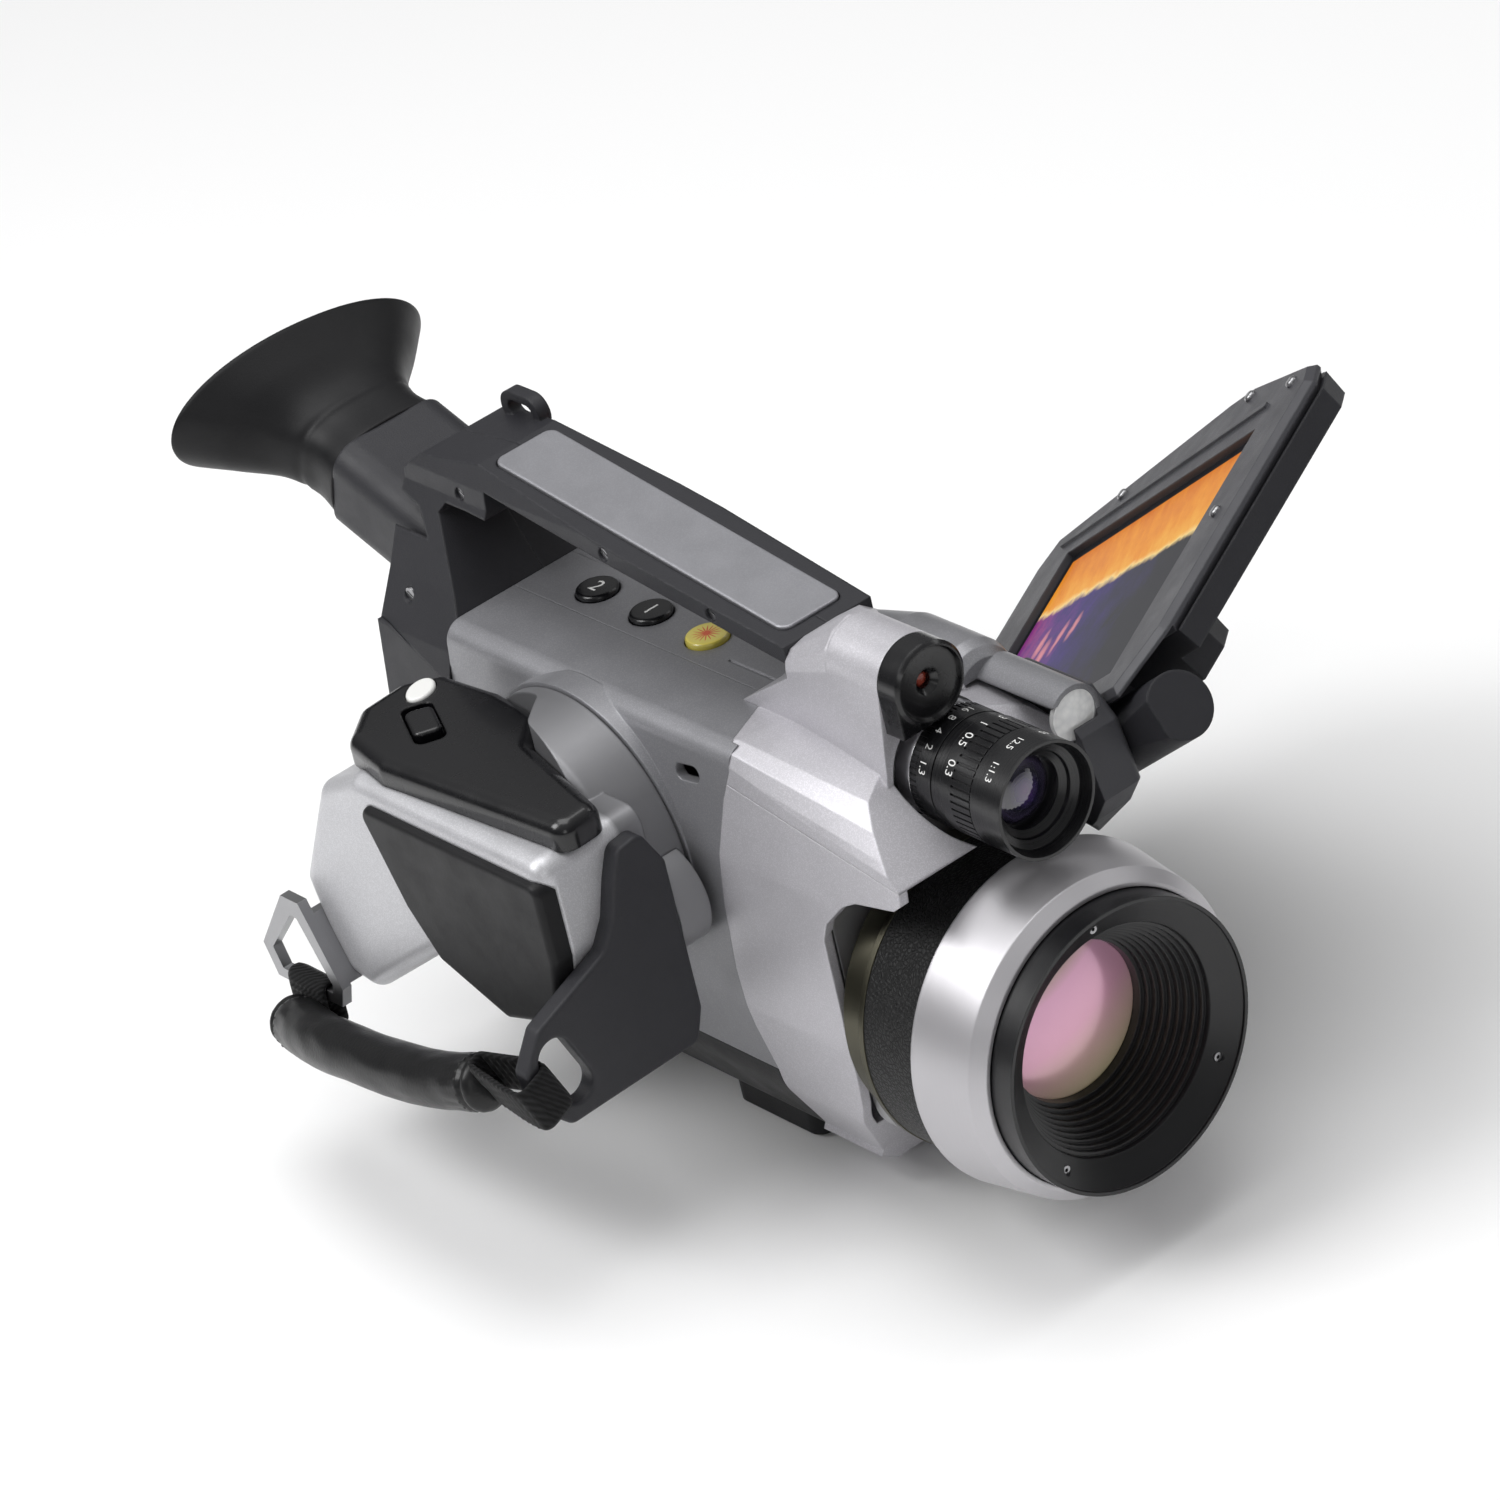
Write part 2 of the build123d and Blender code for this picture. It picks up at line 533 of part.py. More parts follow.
port_boxes = [block(22.5, 28.5, 42 + d - 3.6, 42 + d + 3.6, 96.5, 101.5) for d in (-16, -5, 6)]
with BuildPart() as power_jack:
    with BuildSketch(Plane.YZ.offset(22.5)):
        with Locations((59.5, 99)):
            Circle(4.0)
            Circle(1.6, mode=Mode.SUBTRACT)
    extrude(amount=6)
parts["port_sockets"] = Compound([
    cut(b, block(24, 30, 42 + d - 2.7, 42 + d + 2.7, 97.4, 100.6))
    for b, d in zip(port_boxes, (-16, -5, 6))] + [power_jack.part])

# ---------------------------------------------------------------- viewfinder
eye_dir = (0, cos(radians(EYE_TILT)), sin(radians(EYE_TILT)))
eye_plane = Plane(origin=(0, EYE_Y, EYE_Z), x_dir=(1, 0, 0), z_dir=eye_dir)
with BuildPart() as eye_hub_bore:
    with BuildSketch(Plane.YZ.offset(-24)):
        with Locations((EYE_Y, EYE_Z)):
            Circle(2.55)
    extrude(amount=48)
with BuildPart() as eye_pin:
    with BuildSketch(Plane.YZ.offset(-20)):
        with Locations((EYE_Y, EYE_Z)):
            Circle(2.5)
    extrude(amount=40)
parts["vf_hinge_pin"] = eye_pin.part
for half in ("handle_right_half", "handle_left_half"):
    parts[half] = cut(parts[half], eye_pin.part)
with BuildPart() as vf_housing:
    with BuildSketch(Plane.YZ.offset(-17)):
        with Locations((EYE_Y, EYE_Z)):
            Circle(7.0)
    extrude(amount=34)
    with BuildSketch(eye_plane.offset(3)):
        RectangleRounded(34, 26, 7)
    extrude(amount=35)
    with BuildSketch(eye_plane.offset(14)):
        RectangleRounded(29, 21, 5)
    extrude(amount=18, mode=Mode.SUBTRACT)
    with BuildSketch(eye_plane.offset(31)):
        Circle(8.5)
    extrude(amount=8, mode=Mode.SUBTRACT)
    add(eye_hub_bore.part, mode=Mode.SUBTRACT)
parts["vf_housing"] = vf_housing.part
with BuildPart() as vf_lens:
    with BuildSketch(eye_plane.offset(33)):
        Circle(8.5)
    extrude(amount=3.4)
    fillet(vf_lens.edges().filter_by(GeomType.CIRCLE), radius=1.2)
parts["vf_lens"] = vf_lens.part
# Stations of the eyecup: distance along the tube, width, height, corner radius, drop, roll.
CUP = [(38, 35, 27, 8, 0, 0), (47, 33.5, 25.5, 8, 0, 0), (56, 42, 26, 10, -0.5, 2),
       (65, 62, 32, 14, -1.2, 5), (73, 79, 39, 18, -1.5, 6.7)]


def cup_loft(shrink, extra):
    """Flared sleeve through the eyecup stations."""
    with BuildPart() as body:
        for t, w, h, r, drop, roll in CUP:
            t2 = t + (extra if t == CUP[-1][0] else (-extra if t == CUP[0][0] else 0))
            with BuildSketch(eye_plane.offset(t2)):
                with Locations((0, drop)):
                    RectangleRounded(w - 2 * shrink, h - 2 * shrink, r - shrink, rotation=roll)
        loft()
    return body.part


parts["eyecup"] = cut(cup_loft(0, 0), cup_loft(2.4, 0.5))

# ---------------------------------------------------------------- folding display
pt, te, fo = radians(LCD_PITCH), radians(LCD_TOE), radians(LCD_FOLD)
AX_A = Vector(-sin(te), -cos(te) * cos(pt), cos(te) * sin(pt))
AX_S = Vector(cos(te), -sin(te) * cos(pt), sin(te) * sin(pt))
AX_U = AX_A.cross(AX_S)
AX_B = AX_S * sin(fo) + AX_U * cos(fo)
AX_N = AX_A.cross(AX_B)
lcd_plane = Plane(origin=LCD_ORIGIN, x_dir=AX_A, z_dir=AX_N)
LCD_OUTLINE = [
    (-79, 37), (-74, 46), (20, 56.5), (34, 57), (72, 50.5), (77, 44), (77, -28), (68, -44),
    (-72, -44), (-79, -37),
]


def lcd_slab(points, w0, w1, taper=0.0):
    """Plate in the display frame between two depths."""
    with BuildPart() as body:
        with BuildSketch(lcd_plane.offset(w0)):
            with BuildLine():
                Polyline(*points, close=True)
            make_face()
        extrude(amount=w1 - w0, taper=taper)
    return body.part


def lcd_rod(u0, u1, v, w, radius):
    """Rod along the long axis of the display."""
    start = lcd_plane.from_local_coords(Vector(u0, v, w))
    with BuildPart() as body:
        with BuildSketch(Plane(origin=start, x_dir=AX_B, z_dir=AX_A)):
            Circle(radius)
        extrude(amount=u1 - u0)
    return body.part


hub_space = lcd_slab([(37, -60), (90, -60), (90, -26), (37, -26)], -30, -1.2)
with BuildPart() as lcd_bezel:
    add(lcd_slab(LCD_OUTLINE, -3, 1.2))
    chamfer(lcd_bezel.faces().filter_by(lcd_plane.offset(1.2)).edges(), length=1.6)
    with BuildSketch(lcd_plane.offset(-3)):
        Rectangle(SCREEN_U, SCREEN_V)
    extrude(amount=5, mode=Mode.SUBTRACT)
    with BuildSketch(lcd_plane.offset(0.7)):
        with Locations((-5, 41.6)):
            SlotOverall(122, 1.6, rotation=1.2)
    extrude(amount=1.2)
LCD_SCREWS = [(34.8, 52.5), (66.0, 46.0), (66.5, 8.0), (-34.5, 46.0)]
screw_heads = []
screw_bores = []
for u, v in LCD_SCREWS:
    for depth, store in ((2.3, screw_heads), (3.0, screw_bores)):
        with BuildPart() as head:
            with BuildSketch(lcd_plane.offset(-1.5)):
                with Locations((u, v)):
                    Circle(1.6)
            extrude(amount=1.5 + depth)
            fillet(head.edges().filter_by(lcd_plane.offset(depth)), radius=0.8)
        store.append(head.part)
parts["lcd_bezel"] = cut(lcd_bezel.part, hub_space, *screw_bores)
parts["lcd_screws"] = Compound(screw_heads)
parts["lcd_screen"] = lcd_slab([(-57, -35.5), (57, -35.5), (57, 35.5), (-57, 35.5)], -2.8, -0.6)
back_shell = cut(
    join(lcd_slab(LCD_OUTLINE, -3, -9.5, 12),
         lcd_slab([(-66, -8), (60, -8), (66, -16), (66, -44), (-66, -44)], -3, -17, 10),
         lcd_rod(-4, 36.5, HINGE_V, HINGE_W, 6.5)),
    lcd_slab([(-62, -12), (30, -12), (30, -24), (-62, -24)], -3, -14, 10),
    lcd_slab([(-71, 40), (66, 50), (66, -18), (-71, -30)], -3, -6.8, 12),
    hub_space,
    lcd_rod(-2.0, 40, HINGE_V, HINGE_W, 4.05))
parts["lcd_back"] = back_shell
pivot = lcd_plane.from_local_coords(Vector(PIVOT_U, HINGE_V, HINGE_W))
with BuildPart() as pivot_bore:
    with BuildSketch(Plane.YZ.offset(30)):
        with Locations((pivot.Y, pivot.Z)):
            Circle(3.05)
    extrude(amount=14)
with BuildPart() as pivot_pin:
    with BuildSketch(Plane.YZ.offset(34.4)):
        with Locations((pivot.Y, pivot.Z)):
            Circle(3.0)
    extrude(amount=9.4)
with BuildPart() as lcd_arm:
    with BuildSketch(Plane.YZ.offset(38.4)):
        with Locations((pivot.Y, pivot.Z)):
            Circle(7.0)
    extrude(amount=pivot.X + 3.0 - 38.4)
    fillet(lcd_arm.edges().filter_by(GeomType.CIRCLE), radius=1.0)
    add(lcd_rod(37.6, 77, HINGE_V, HINGE_W, 8.2))
    add(lcd_rod(-1.5, PIVOT_U - 2, HINGE_V, HINGE_W, 4.0))
    add(block(20, 38.4, -130, -40, 60, 140), mode=Mode.SUBTRACT)
    add(pivot_bore.part, mode=Mode.SUBTRACT)
parts["lcd_arm"] = lcd_arm.part
bracket_side = [(-85, 112), (-89, 97), (-84, 90), (-71, 78), (-64, 84), (-44, 112), (-56, 119),
                (-78, 119)]
with BuildPart() as lcd_bracket:
    add(profile_x(bracket_side, 26, 38))
    fillet(lcd_bracket.faces().sort_by(Axis.X)[-1].edges(), radius=2.0)
bracket_blank = cut(lcd_bracket.part, front_cowl_upper, front_cowl_lower, shoulder_blank,
                    parts["lamp_shoulder"], body_bar(0, -66, 20), lamp_cavity, ir_scoop)
parts["lcd_bracket"] = join(bracket_blank, pivot_pin.part)

# ---------------------------------------------------------------- side grip
def grip_disc(x0, x1, r, y=GRIP_Y, z=GRIP_Z):
    """Disc on an axis parallel to X."""
    with BuildPart() as body:
        with BuildSketch(Plane.YZ.offset(x0)):
            with Locations((y, z)):
                Circle(r)
        extrude(amount=x1 - x0)
    return body.part


boss = cut(grip_disc(-34.0, -27, 36.0), body_bar(WALL, -60, 90), grip_axle_hole.part)
parts["right_shell"] = join(parts["right_shell"], boss)
PAD_ROUND = 4.5
PAD_PLAN = [(-73, 50), (-70, 66), (-60, 74.5), (-47, 75.5), (-38, 69), (-36, 50), (-37.5, 32),
            (-47, 24), (-52, 3), (-55.5, -12), (-68, -13)]


def grip_slab(points, z0, z1, corner):
    """Plan view outline swept up between two heights."""
    with BuildPart() as body:
        with BuildSketch(Plane.XY.offset(z0)) as face:
            with BuildLine():
                Polyline(*points, close=True)
            make_face()
            fillet(face.vertices(), radius=corner)
        extrude(amount=z1 - z0)
    return body.part


GRIP_SIDE = [(-12, 109), (60, 109.5), (76, 102), (93, 72), (87, 47), (74, 45), (38, 69), (14, 60),
             (-8, 66), (-12, 84)]
with BuildPart() as drum:
    add(grip_disc(-52, GRIP_X0, GRIP_R))
    fillet(drum.faces().sort_by(Axis.X)[0].edges(), radius=3)
with BuildPart() as grip_body:
    with BuildSketch(Plane.YZ.offset(GRIP_X1)) as side_face:
        with BuildLine():
            Polyline(*GRIP_SIDE, close=True)
        make_face()
        fillet(side_face.vertices(), radius=5.0)
    extrude(amount=-46 - GRIP_X1)
    fillet(grip_body.faces().sort_by(Axis.X)[0].edges(), radius=4.5)
knob = grip_disc(-44.8, -36, 13.0, -3, 79)
pad_well = grip_slab(PAD_PLAN, 108.5, 140, PAD_ROUND)
palm_side = [(57, 104.5), (-11.9, 104.5), (-11.9, 84), (-7.9, 66.3), (14, 60.3), (37, 68.3),
             (46, 80)]


def palm_slab(x0, x1):
    """Palm pad outline between two planes."""
    with BuildPart() as body:
        with BuildSketch(Plane.YZ.offset(x0)) as face:
            with BuildLine():
                Polyline(*palm_side, close=True)
            make_face()
            fillet(face.vertices(), radius=3.0)
        extrude(amount=x1 - x0)
    return body.part


palm_well = palm_slab(GRIP_X1 - 1, GRIP_X1 + 4)
grip_shape = cut(join(drum.part, grip_body.part), pad_well, palm_well, knob,
                 block(-60, -44, -18, -12, 40, 110))
with BuildPart() as grip_cavity:
    add(grip_disc(-50, -37.5, 22))
    add(profile_x([(-6, 100), (56, 100), (66, 92), (40, 76), (14, 68), (-4, 74)], -71, -48))
axle = cut(grip_disc(-40, -27, 13.95), grip_disc(-60, 0, 9))
parts["grip_body"] = join(cut(grip_shape, grip_cavity.part), axle)
with BuildPart() as top_pad:
    add(grip_slab(PAD_PLAN, 108.5, 115.8, PAD_ROUND))
    fillet(top_pad.faces().sort_by(Axis.Z)[-1].edges(), radius=3.6)
BUTTON_C = (-47.0, 66.8)
LEVER_C = (-56.0, 54.0)
with BuildPart() as grip_button_tool:
    with BuildSketch(Plane.XY.offset(110)):
        with Locations(BUTTON_C):
            Ellipse(5.3, 3.6, rotation=30)
    extrude(amount=8)
with BuildPart() as grip_button:
    with BuildSketch(Plane.XY.offset(111.5)):
        with Locations(BUTTON_C):
            Ellipse(5.0, 3.3, rotation=30)
    extrude(amount=5.0)
    fillet(grip_button.faces().sort_by(Axis.Z)[-1].edges(), radius=0.8)
with BuildPart() as lever_well:
    with BuildSketch(Plane.XY.offset(110)):
        with Locations(LEVER_C):
            RectangleRounded(8, 19, 2.5, rotation=-25)
    extrude(amount=8)
with BuildPart() as lever:
    with BuildSketch(Plane.XY.offset(111.5)):
        with Locations(LEVER_C):
            RectangleRounded(7, 12, 2.0, rotation=-25)
    extrude(amount=5.3)
    fillet(lever.faces().sort_by(Axis.Z)[-1].edges(), radius=0.9)
parts["grip_top_pad"] = cut(top_pad.part, grip_button_tool.part, lever_well.part)
parts["grip_button"] = grip_button.part
parts["zoom_lever"] = lever.part
with BuildPart() as palm_pad:
    add(palm_slab(GRIP_X1 - 2, GRIP_X1 + 4))
    fillet(palm_pad.faces().sort_by(Axis.X)[0].edges(), radius=1.6)
parts["grip_palm_pad"] = palm_pad.part
parts["grip_knob"] = cut(knob, grip_disc(-60, -40, 2.6, -3, 79), grip_disc(-46, -43.6, 9.5, -3, 79),
                         grip_disc(-52, GRIP_X0, 26))
PLATE = [(-50, 106), (-57, 105), (-60, 98), (-63, 89), (-67, 83), (-89, 74), (-95, 65), (-93, 54),
         (-86, 47), (-48, 48), (-45, 56), (-45, 96)]
SLOT_C, SLOT_TILT = (-84.3, 60.8), 68.0
with BuildPart() as strap_plate:
    with BuildSketch(Plane.XZ.offset(12)) as plate_face:
        with BuildLine():
            Polyline(*PLATE, close=True)
        make_face()
        fillet(plate_face.vertices(), radius=3)
        with Locations(SLOT_C):
            SlotOverall(19.5, 9, rotation=-SLOT_TILT, mode=Mode.SUBTRACT)
    extrude(amount=4.5)
    fillet(strap_plate.faces().sort_by(Axis.Y)[0].edges(), radius=0.8)
parts["strap_plate"] = join(strap_plate.part, tube(-12, -4, 4.2, 0, -50, 52))
RING_OUT = [(89, 68), (96, 68), (110, 50), (107, 41.5), (81, 41.5), (79, 47)]
RING_IN = [(91.5, 63), (94, 63), (106, 50), (104, 44.5), (84, 44.5), (83, 47)]
ring_loop = cut(profile_x(RING_OUT, -81.5, -78.8), profile_x(RING_IN, -90, -70))
ring_foot = profile_x([(88, 64), (90.5, 64), (83, 47), (80, 47)], -79, -73)
parts["d_ring"] = join(ring_loop, cut(ring_foot, parts["grip_body"]))
STRAP_PATH = [(-86, 98, 34.5), (-93, 70, 41.5), (-95, 30, 48.5), (-93, 2, 55.5)]
with BuildPart() as strap_pad:
    with BuildLine() as strap_line:
        Spline(*STRAP_PATH)
    with BuildSketch(Plane(origin=strap_line.line @ 0, z_dir=strap_line.line % 0)):
        Circle(7.0)
    sweep()
parts["strap_pad"] = strap_pad.part
slot_plane = Plane(origin=(SLOT_C[0], 0, SLOT_C[1]),
                   x_dir=(-sin(radians(SLOT_TILT)), 0, -cos(radians(SLOT_TILT))),
                   z_dir=(cos(radians(SLOT_TILT)), 0, -sin(radians(SLOT_TILT))))
LOOP_OUT = [(2.6, -9), (2.6, -17.2), (3.6, -18.3), (12.2, -18.3), (13.3, -17.2), (13.3, -11),
            (12, 5), (6, 5)]
LOOP_IN = [(4.2, -9), (4.2, -16.7), (11.7, -16.7), (11.7, -11), (10.4, 0), (6.8, 0)]
with BuildPart() as front_webbing:
    with BuildSketch(slot_plane.offset(-7.2)):
        with BuildLine():
            Polyline(*LOOP_OUT, close=True)
        make_face()
        with BuildLine():
            Polyline(*LOOP_IN, close=True)
        make_face(mode=Mode.SUBTRACT)
    extrude(amount=14.4)
parts["strap_webbing_front"] = cut(front_webbing.part, strap_pad.part)
parts["strap_webbing_rear"] = cut(
    block(-83.3, -77.3, 86, 101, 32, 46.3), block(-81.8, -78.5, 80, 110, 41.2, 44.8),
    strap_pad.part)

os.makedirs("parts", exist_ok=True)
for name, part in parts.items():
    part.label = name
    export_step(part, f"parts/{name}.step")
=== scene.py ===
"""Looks of the handheld thermal imaging camera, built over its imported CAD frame. Metres."""
import bmesh
import bpy
import json
import math

from mathutils import Matrix, Vector, noise


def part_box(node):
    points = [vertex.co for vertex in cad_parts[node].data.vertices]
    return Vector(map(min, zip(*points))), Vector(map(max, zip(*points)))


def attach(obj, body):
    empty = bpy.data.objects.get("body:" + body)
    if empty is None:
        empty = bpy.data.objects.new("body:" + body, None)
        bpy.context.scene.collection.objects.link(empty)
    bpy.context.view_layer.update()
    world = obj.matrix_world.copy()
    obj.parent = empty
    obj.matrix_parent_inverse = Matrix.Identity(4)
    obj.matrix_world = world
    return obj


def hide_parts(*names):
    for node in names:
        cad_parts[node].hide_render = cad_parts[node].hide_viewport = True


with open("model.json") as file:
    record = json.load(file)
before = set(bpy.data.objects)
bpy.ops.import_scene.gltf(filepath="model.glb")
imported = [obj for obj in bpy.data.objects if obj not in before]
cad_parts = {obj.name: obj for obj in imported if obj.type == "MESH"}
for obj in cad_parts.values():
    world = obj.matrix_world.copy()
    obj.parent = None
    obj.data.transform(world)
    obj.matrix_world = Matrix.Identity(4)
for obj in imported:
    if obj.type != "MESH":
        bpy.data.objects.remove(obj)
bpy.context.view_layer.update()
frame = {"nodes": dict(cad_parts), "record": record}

MM = 0.001
nodes = frame["nodes"]
LENS_Z = 0.055                  # infrared lens axis above the floor
TV_Z = 0.1165                   # daylight lens axis above the floor
EDGE_STARTS, EDGE_FULL = 0.995, 0.8     # how far a rounded normal leans where an edge begins and is full


# ---------------------------------------------------------------- node helpers
class Graph:
    """A material's node tree with short calls for adding and joining nodes."""

    def __init__(self, name):
        self.mat = bpy.data.materials.new(name)
        self.mat.use_nodes = True
        self.tree = self.mat.node_tree
        self.bsdf = self.tree.nodes["Principled BSDF"]
        self.coord = self.tree.nodes.new("ShaderNodeTexCoord").outputs["Object"]

    def put(self, kind, inputs=None, **props):
        node = self.tree.nodes.new("ShaderNode" + kind)
        for key, value in props.items():
            setattr(node, key, value)
        for key, value in (inputs or {}).items():
            socket = node.inputs[key]
            if isinstance(value, bpy.types.NodeSocket):
                self.tree.links.new(value, socket)
            else:
                socket.default_value = value
        return node

    def math(self, op, a, b=0.0, c=None, clamp=False):
        inputs = {0: a, 1: b}
        if c is not None:
            inputs[2] = c
        return self.put("Math", inputs, operation=op, use_clamp=clamp).outputs[0]

    def dot(self, vector, direction):
        node = self.put("VectorMath", {0: vector, 1: direction}, operation="DOT_PRODUCT")
        return node.outputs["Value"]

    def length(self, a, b):
        squares = self.math("ADD", self.math("MULTIPLY", a, a), self.math("MULTIPLY", b, b))
        return self.math("SQRT", squares)

    def scaled(self, scale):
        return self.put("Mapping", {"Vector": self.coord, "Scale": scale}).outputs[0]

    def noise(self, scale, detail=2.0, rough=0.5, vector=None):
        return self.put("TexNoise", {"Vector": vector or self.coord, "Scale": scale, "Detail": detail,
                                     "Roughness": rough}).outputs["Fac"]

    def remap(self, value, a, b, c, d):
        return self.put("MapRange", {0: value, 1: a, 2: b, 3: c, 4: d}).outputs[0]

    def ramp(self, value, stops, interpolation="LINEAR"):
        node = self.put("ValToRGB", {"Fac": value})
        ramp = node.color_ramp
        ramp.interpolation = interpolation
        while len(ramp.elements) < len(stops):
            ramp.elements.new(0.5)
        for element, (place, color) in zip(ramp.elements, stops):
            element.position = place
            element.color = (*color, 1.0)
        return node.outputs["Color"]

    def mix(self, fac, a, b, blend="MIX"):
        node = self.put("Mix", data_type="RGBA", blend_type=blend)
        for index, value in ((0, fac), (6, a), (7, b)):
            if isinstance(value, bpy.types.NodeSocket):
                self.tree.links.new(value, node.inputs[index])
            elif index == 0:
                node.inputs[0].default_value = value
            else:
                node.inputs[index].default_value = (*value, 1.0)
        return node.outputs[2]

    def set(self, **sockets):
        names = {"color": "Base Color", "rough": "Roughness", "metal": "Metallic", "normal": "Normal",
                 "coat": "Coat Weight", "coat_rough": "Coat Roughness", "spec": "Specular IOR Level",
                 "emit": "Emission Color", "emit_power": "Emission Strength",
                 "sheen": "Sheen Weight", "aniso": "Anisotropic"}
        for key, value in sockets.items():
            socket = self.bsdf.inputs[names[key]]
            if isinstance(value, bpy.types.NodeSocket):
                self.tree.links.new(value, socket)
            elif isinstance(value, tuple) and len(value) == 3:
                socket.default_value = (*value, 1.0)
            else:
                socket.default_value = value

    def bump(self, height, strength, distance, normal=None):
        inputs = {"Height": height, "Strength": strength, "Distance": distance}
        if normal is not None:
            inputs["Normal"] = normal
        return self.put("Bump", inputs).outputs[0]

    def edges(self, radius, samples=4):
        """Rounded normal, and a mask that is 1 along outside edges."""
        rounded = self.put("Bevel", {"Radius": radius}, samples=samples).outputs[0]
        flat = self.put("NewGeometry").outputs["Normal"]
        return rounded, self.remap(self.dot(rounded, flat), EDGE_STARTS, EDGE_FULL, 0.0, 1.0)


FLAKE_SCALE = 5200.0            # metal flakes in the paint, and how few of them glint
FLAKE_CUT = 0.72


def shade(color, k):
    return tuple(min(1.0, c * k) for c in color)


def surface(name, color, rough=0.4, metal=0.0, grain=3000, depth=0.02, coat=0.0, coat_rough=0.1,
            spread=0.06, worn=0.35, worn_color=None, radius=0.35, flakes=0.0, spec=0.5):
    """Painted, moulded or machined surface with fine grain, blotches, edge wear and rounded edges."""
    g = Graph(name)
    rounded, rim = g.edges(radius * MM)
    broad = g.noise(28.0, 3.0)
    fine = g.noise(grain, 3.0, 0.6)
    tint = g.mix(broad, shade(color, 1 - spread), shade(color, 1 + spread))
    if flakes:
        cells = g.put("TexVoronoi", {"Vector": g.coord, "Scale": FLAKE_SCALE}).outputs["Color"]
        glint = g.put("SeparateColor", {0: cells}).outputs[0]
        tint = g.mix(g.math("MULTIPLY", g.math("GREATER_THAN", glint, FLAKE_CUT), flakes), tint,
                     shade(color, 1.35))
    scuff = g.remap(g.noise(420.0, 4.0, 0.7), 0.48, 0.62, 0.0, 1.0)
    wear = g.math("MULTIPLY", g.math("MULTIPLY", rim, scuff), worn, clamp=True)
    tint = g.mix(wear, tint, worn_color or shade(color, 1.7))
    uneven = g.remap(g.noise(90.0, 4.0, 0.65), 0.3, 0.7, -0.06, 0.06)
    g.set(color=tint, metal=metal, spec=spec, coat=coat, coat_rough=coat_rough,
          rough=g.math("ADD", g.math("ADD", uneven, rough), g.math("MULTIPLY", wear, 0.1)),
          normal=g.bump(fine, depth, 0.0004, rounded))
    return g


def spun(name, color, rough, axis_z, metal=1.0, lines=9000.0, depth=0.05, radius=0.3, coat=0.0,
         spread=0.08):
    """Turned metal: fine rings about a line along Y."""
    g = Graph(name)
    rounded, rim = g.edges(radius * MM)
    along = g.put("SeparateXYZ", {0: g.coord}).outputs
    radial = g.length(along[0], g.math("SUBTRACT", along[2], axis_z))
    track = g.put("CombineXYZ", {0: radial, 1: along[1], 2: 0.0}).outputs[0]
    line = g.noise(lines, 2.0, 0.6, track)
    broad = g.noise(60.0, 3.0)
    tint = g.mix(broad, shade(color, 1 - spread), shade(color, 1 + spread))
    tint = g.mix(g.math("MULTIPLY", rim, 0.35), tint, shade(color, 1.25))
    g.set(color=tint, metal=metal, coat=coat, aniso=0.4,
          rough=g.remap(line, 0.3, 0.7, max(rough - 0.06, 0.04), rough + 0.07),
          normal=g.bump(line, depth, 0.0002, rounded))
    return g


# ---------------------------------------------------------------- materials of the record's slots
mats = {}
mats["cowl_silver"] = surface("cowl_silver", (0.50, 0.49, 0.52), 0.42, 0.4, grain=5000, depth=0.03,
                              coat=0.1, coat_rough=0.3, spread=0.03, flakes=0.5, worn=0.15, radius=0.7)
mats["shell_grey"] = surface("shell_grey", (0.25, 0.25, 0.265), 0.42, 0.45, grain=5000, depth=0.03,
                             coat=0.2, coat_rough=0.28, spread=0.04, flakes=0.5, worn=0.3, radius=0.6)
mats["dark_plastic"] = surface("dark_plastic", (0.024, 0.024, 0.028), 0.46, 0.0, grain=2600, depth=0.2,
                               spread=0.1, worn=0.35, worn_color=(0.08, 0.08, 0.09), radius=0.9,
                               spec=0.35)
# near black, darker than the other black plastic: the tub's own black with painted shade of the underside
mats["belly_black_and_shade"] = surface("belly_black_and_shade", (0.007, 0.007, 0.008), 0.42, 0.0, grain=2600, depth=0.15,
                             spread=0.1, worn=0.3, worn_color=(0.03, 0.03, 0.03), radius=0.7, spec=0.3)
mats["plate_silver"] = surface("plate_silver", (0.30, 0.30, 0.32), 0.42, 0.6, grain=4200, depth=0.05,
                               spread=0.03, flakes=0.3, worn=0.4, radius=0.5)
mats["bezel_grey"] = surface("bezel_grey", (0.055, 0.055, 0.062), 0.45, 0.1, grain=3000, depth=0.12,
                            spread=0.06, worn=0.4, worn_color=(0.14, 0.14, 0.15), radius=0.6, spec=0.4)
mats["knob_grey"] = surface("knob_grey", (0.22, 0.22, 0.23), 0.42, 0.1, grain=3000, depth=0.12,
                            spread=0.05, worn=0.3, radius=0.6)
mats["gloss_black"] = surface("gloss_black", (0.004, 0.004, 0.005), 0.26, 0.0, grain=900, depth=0.012,
                              coat=0.4, coat_rough=0.12, spread=0.15, worn=0.1,
                              worn_color=(0.03, 0.03, 0.03), radius=0.9, spec=0.35)
mats["button_white"] = surface("button_white", (0.82, 0.82, 0.80), 0.25, 0.0, grain=1500, depth=0.01,
                               coat=0.5, spread=0.02, worn=0.1, worn_color=(0.7, 0.69, 0.66), radius=0.4)
mats["rubber_black"] = surface("rubber_black", (0.006, 0.006, 0.007), 0.47, 0.0, grain=2200, depth=0.1,
                               spread=0.15, worn=0.2, worn_color=(0.02, 0.02, 0.02), radius=0.9, spec=0.28)
mats["battery_black"] = surface("battery_black", (0.03, 0.03, 0.034), 0.5, grain=2600, depth=0.15)
mats["board_green"] = surface("board_green", (0.02, 0.12, 0.05), 0.35, grain=1800, depth=0.3,
                              worn_color=(0.6, 0.45, 0.15))
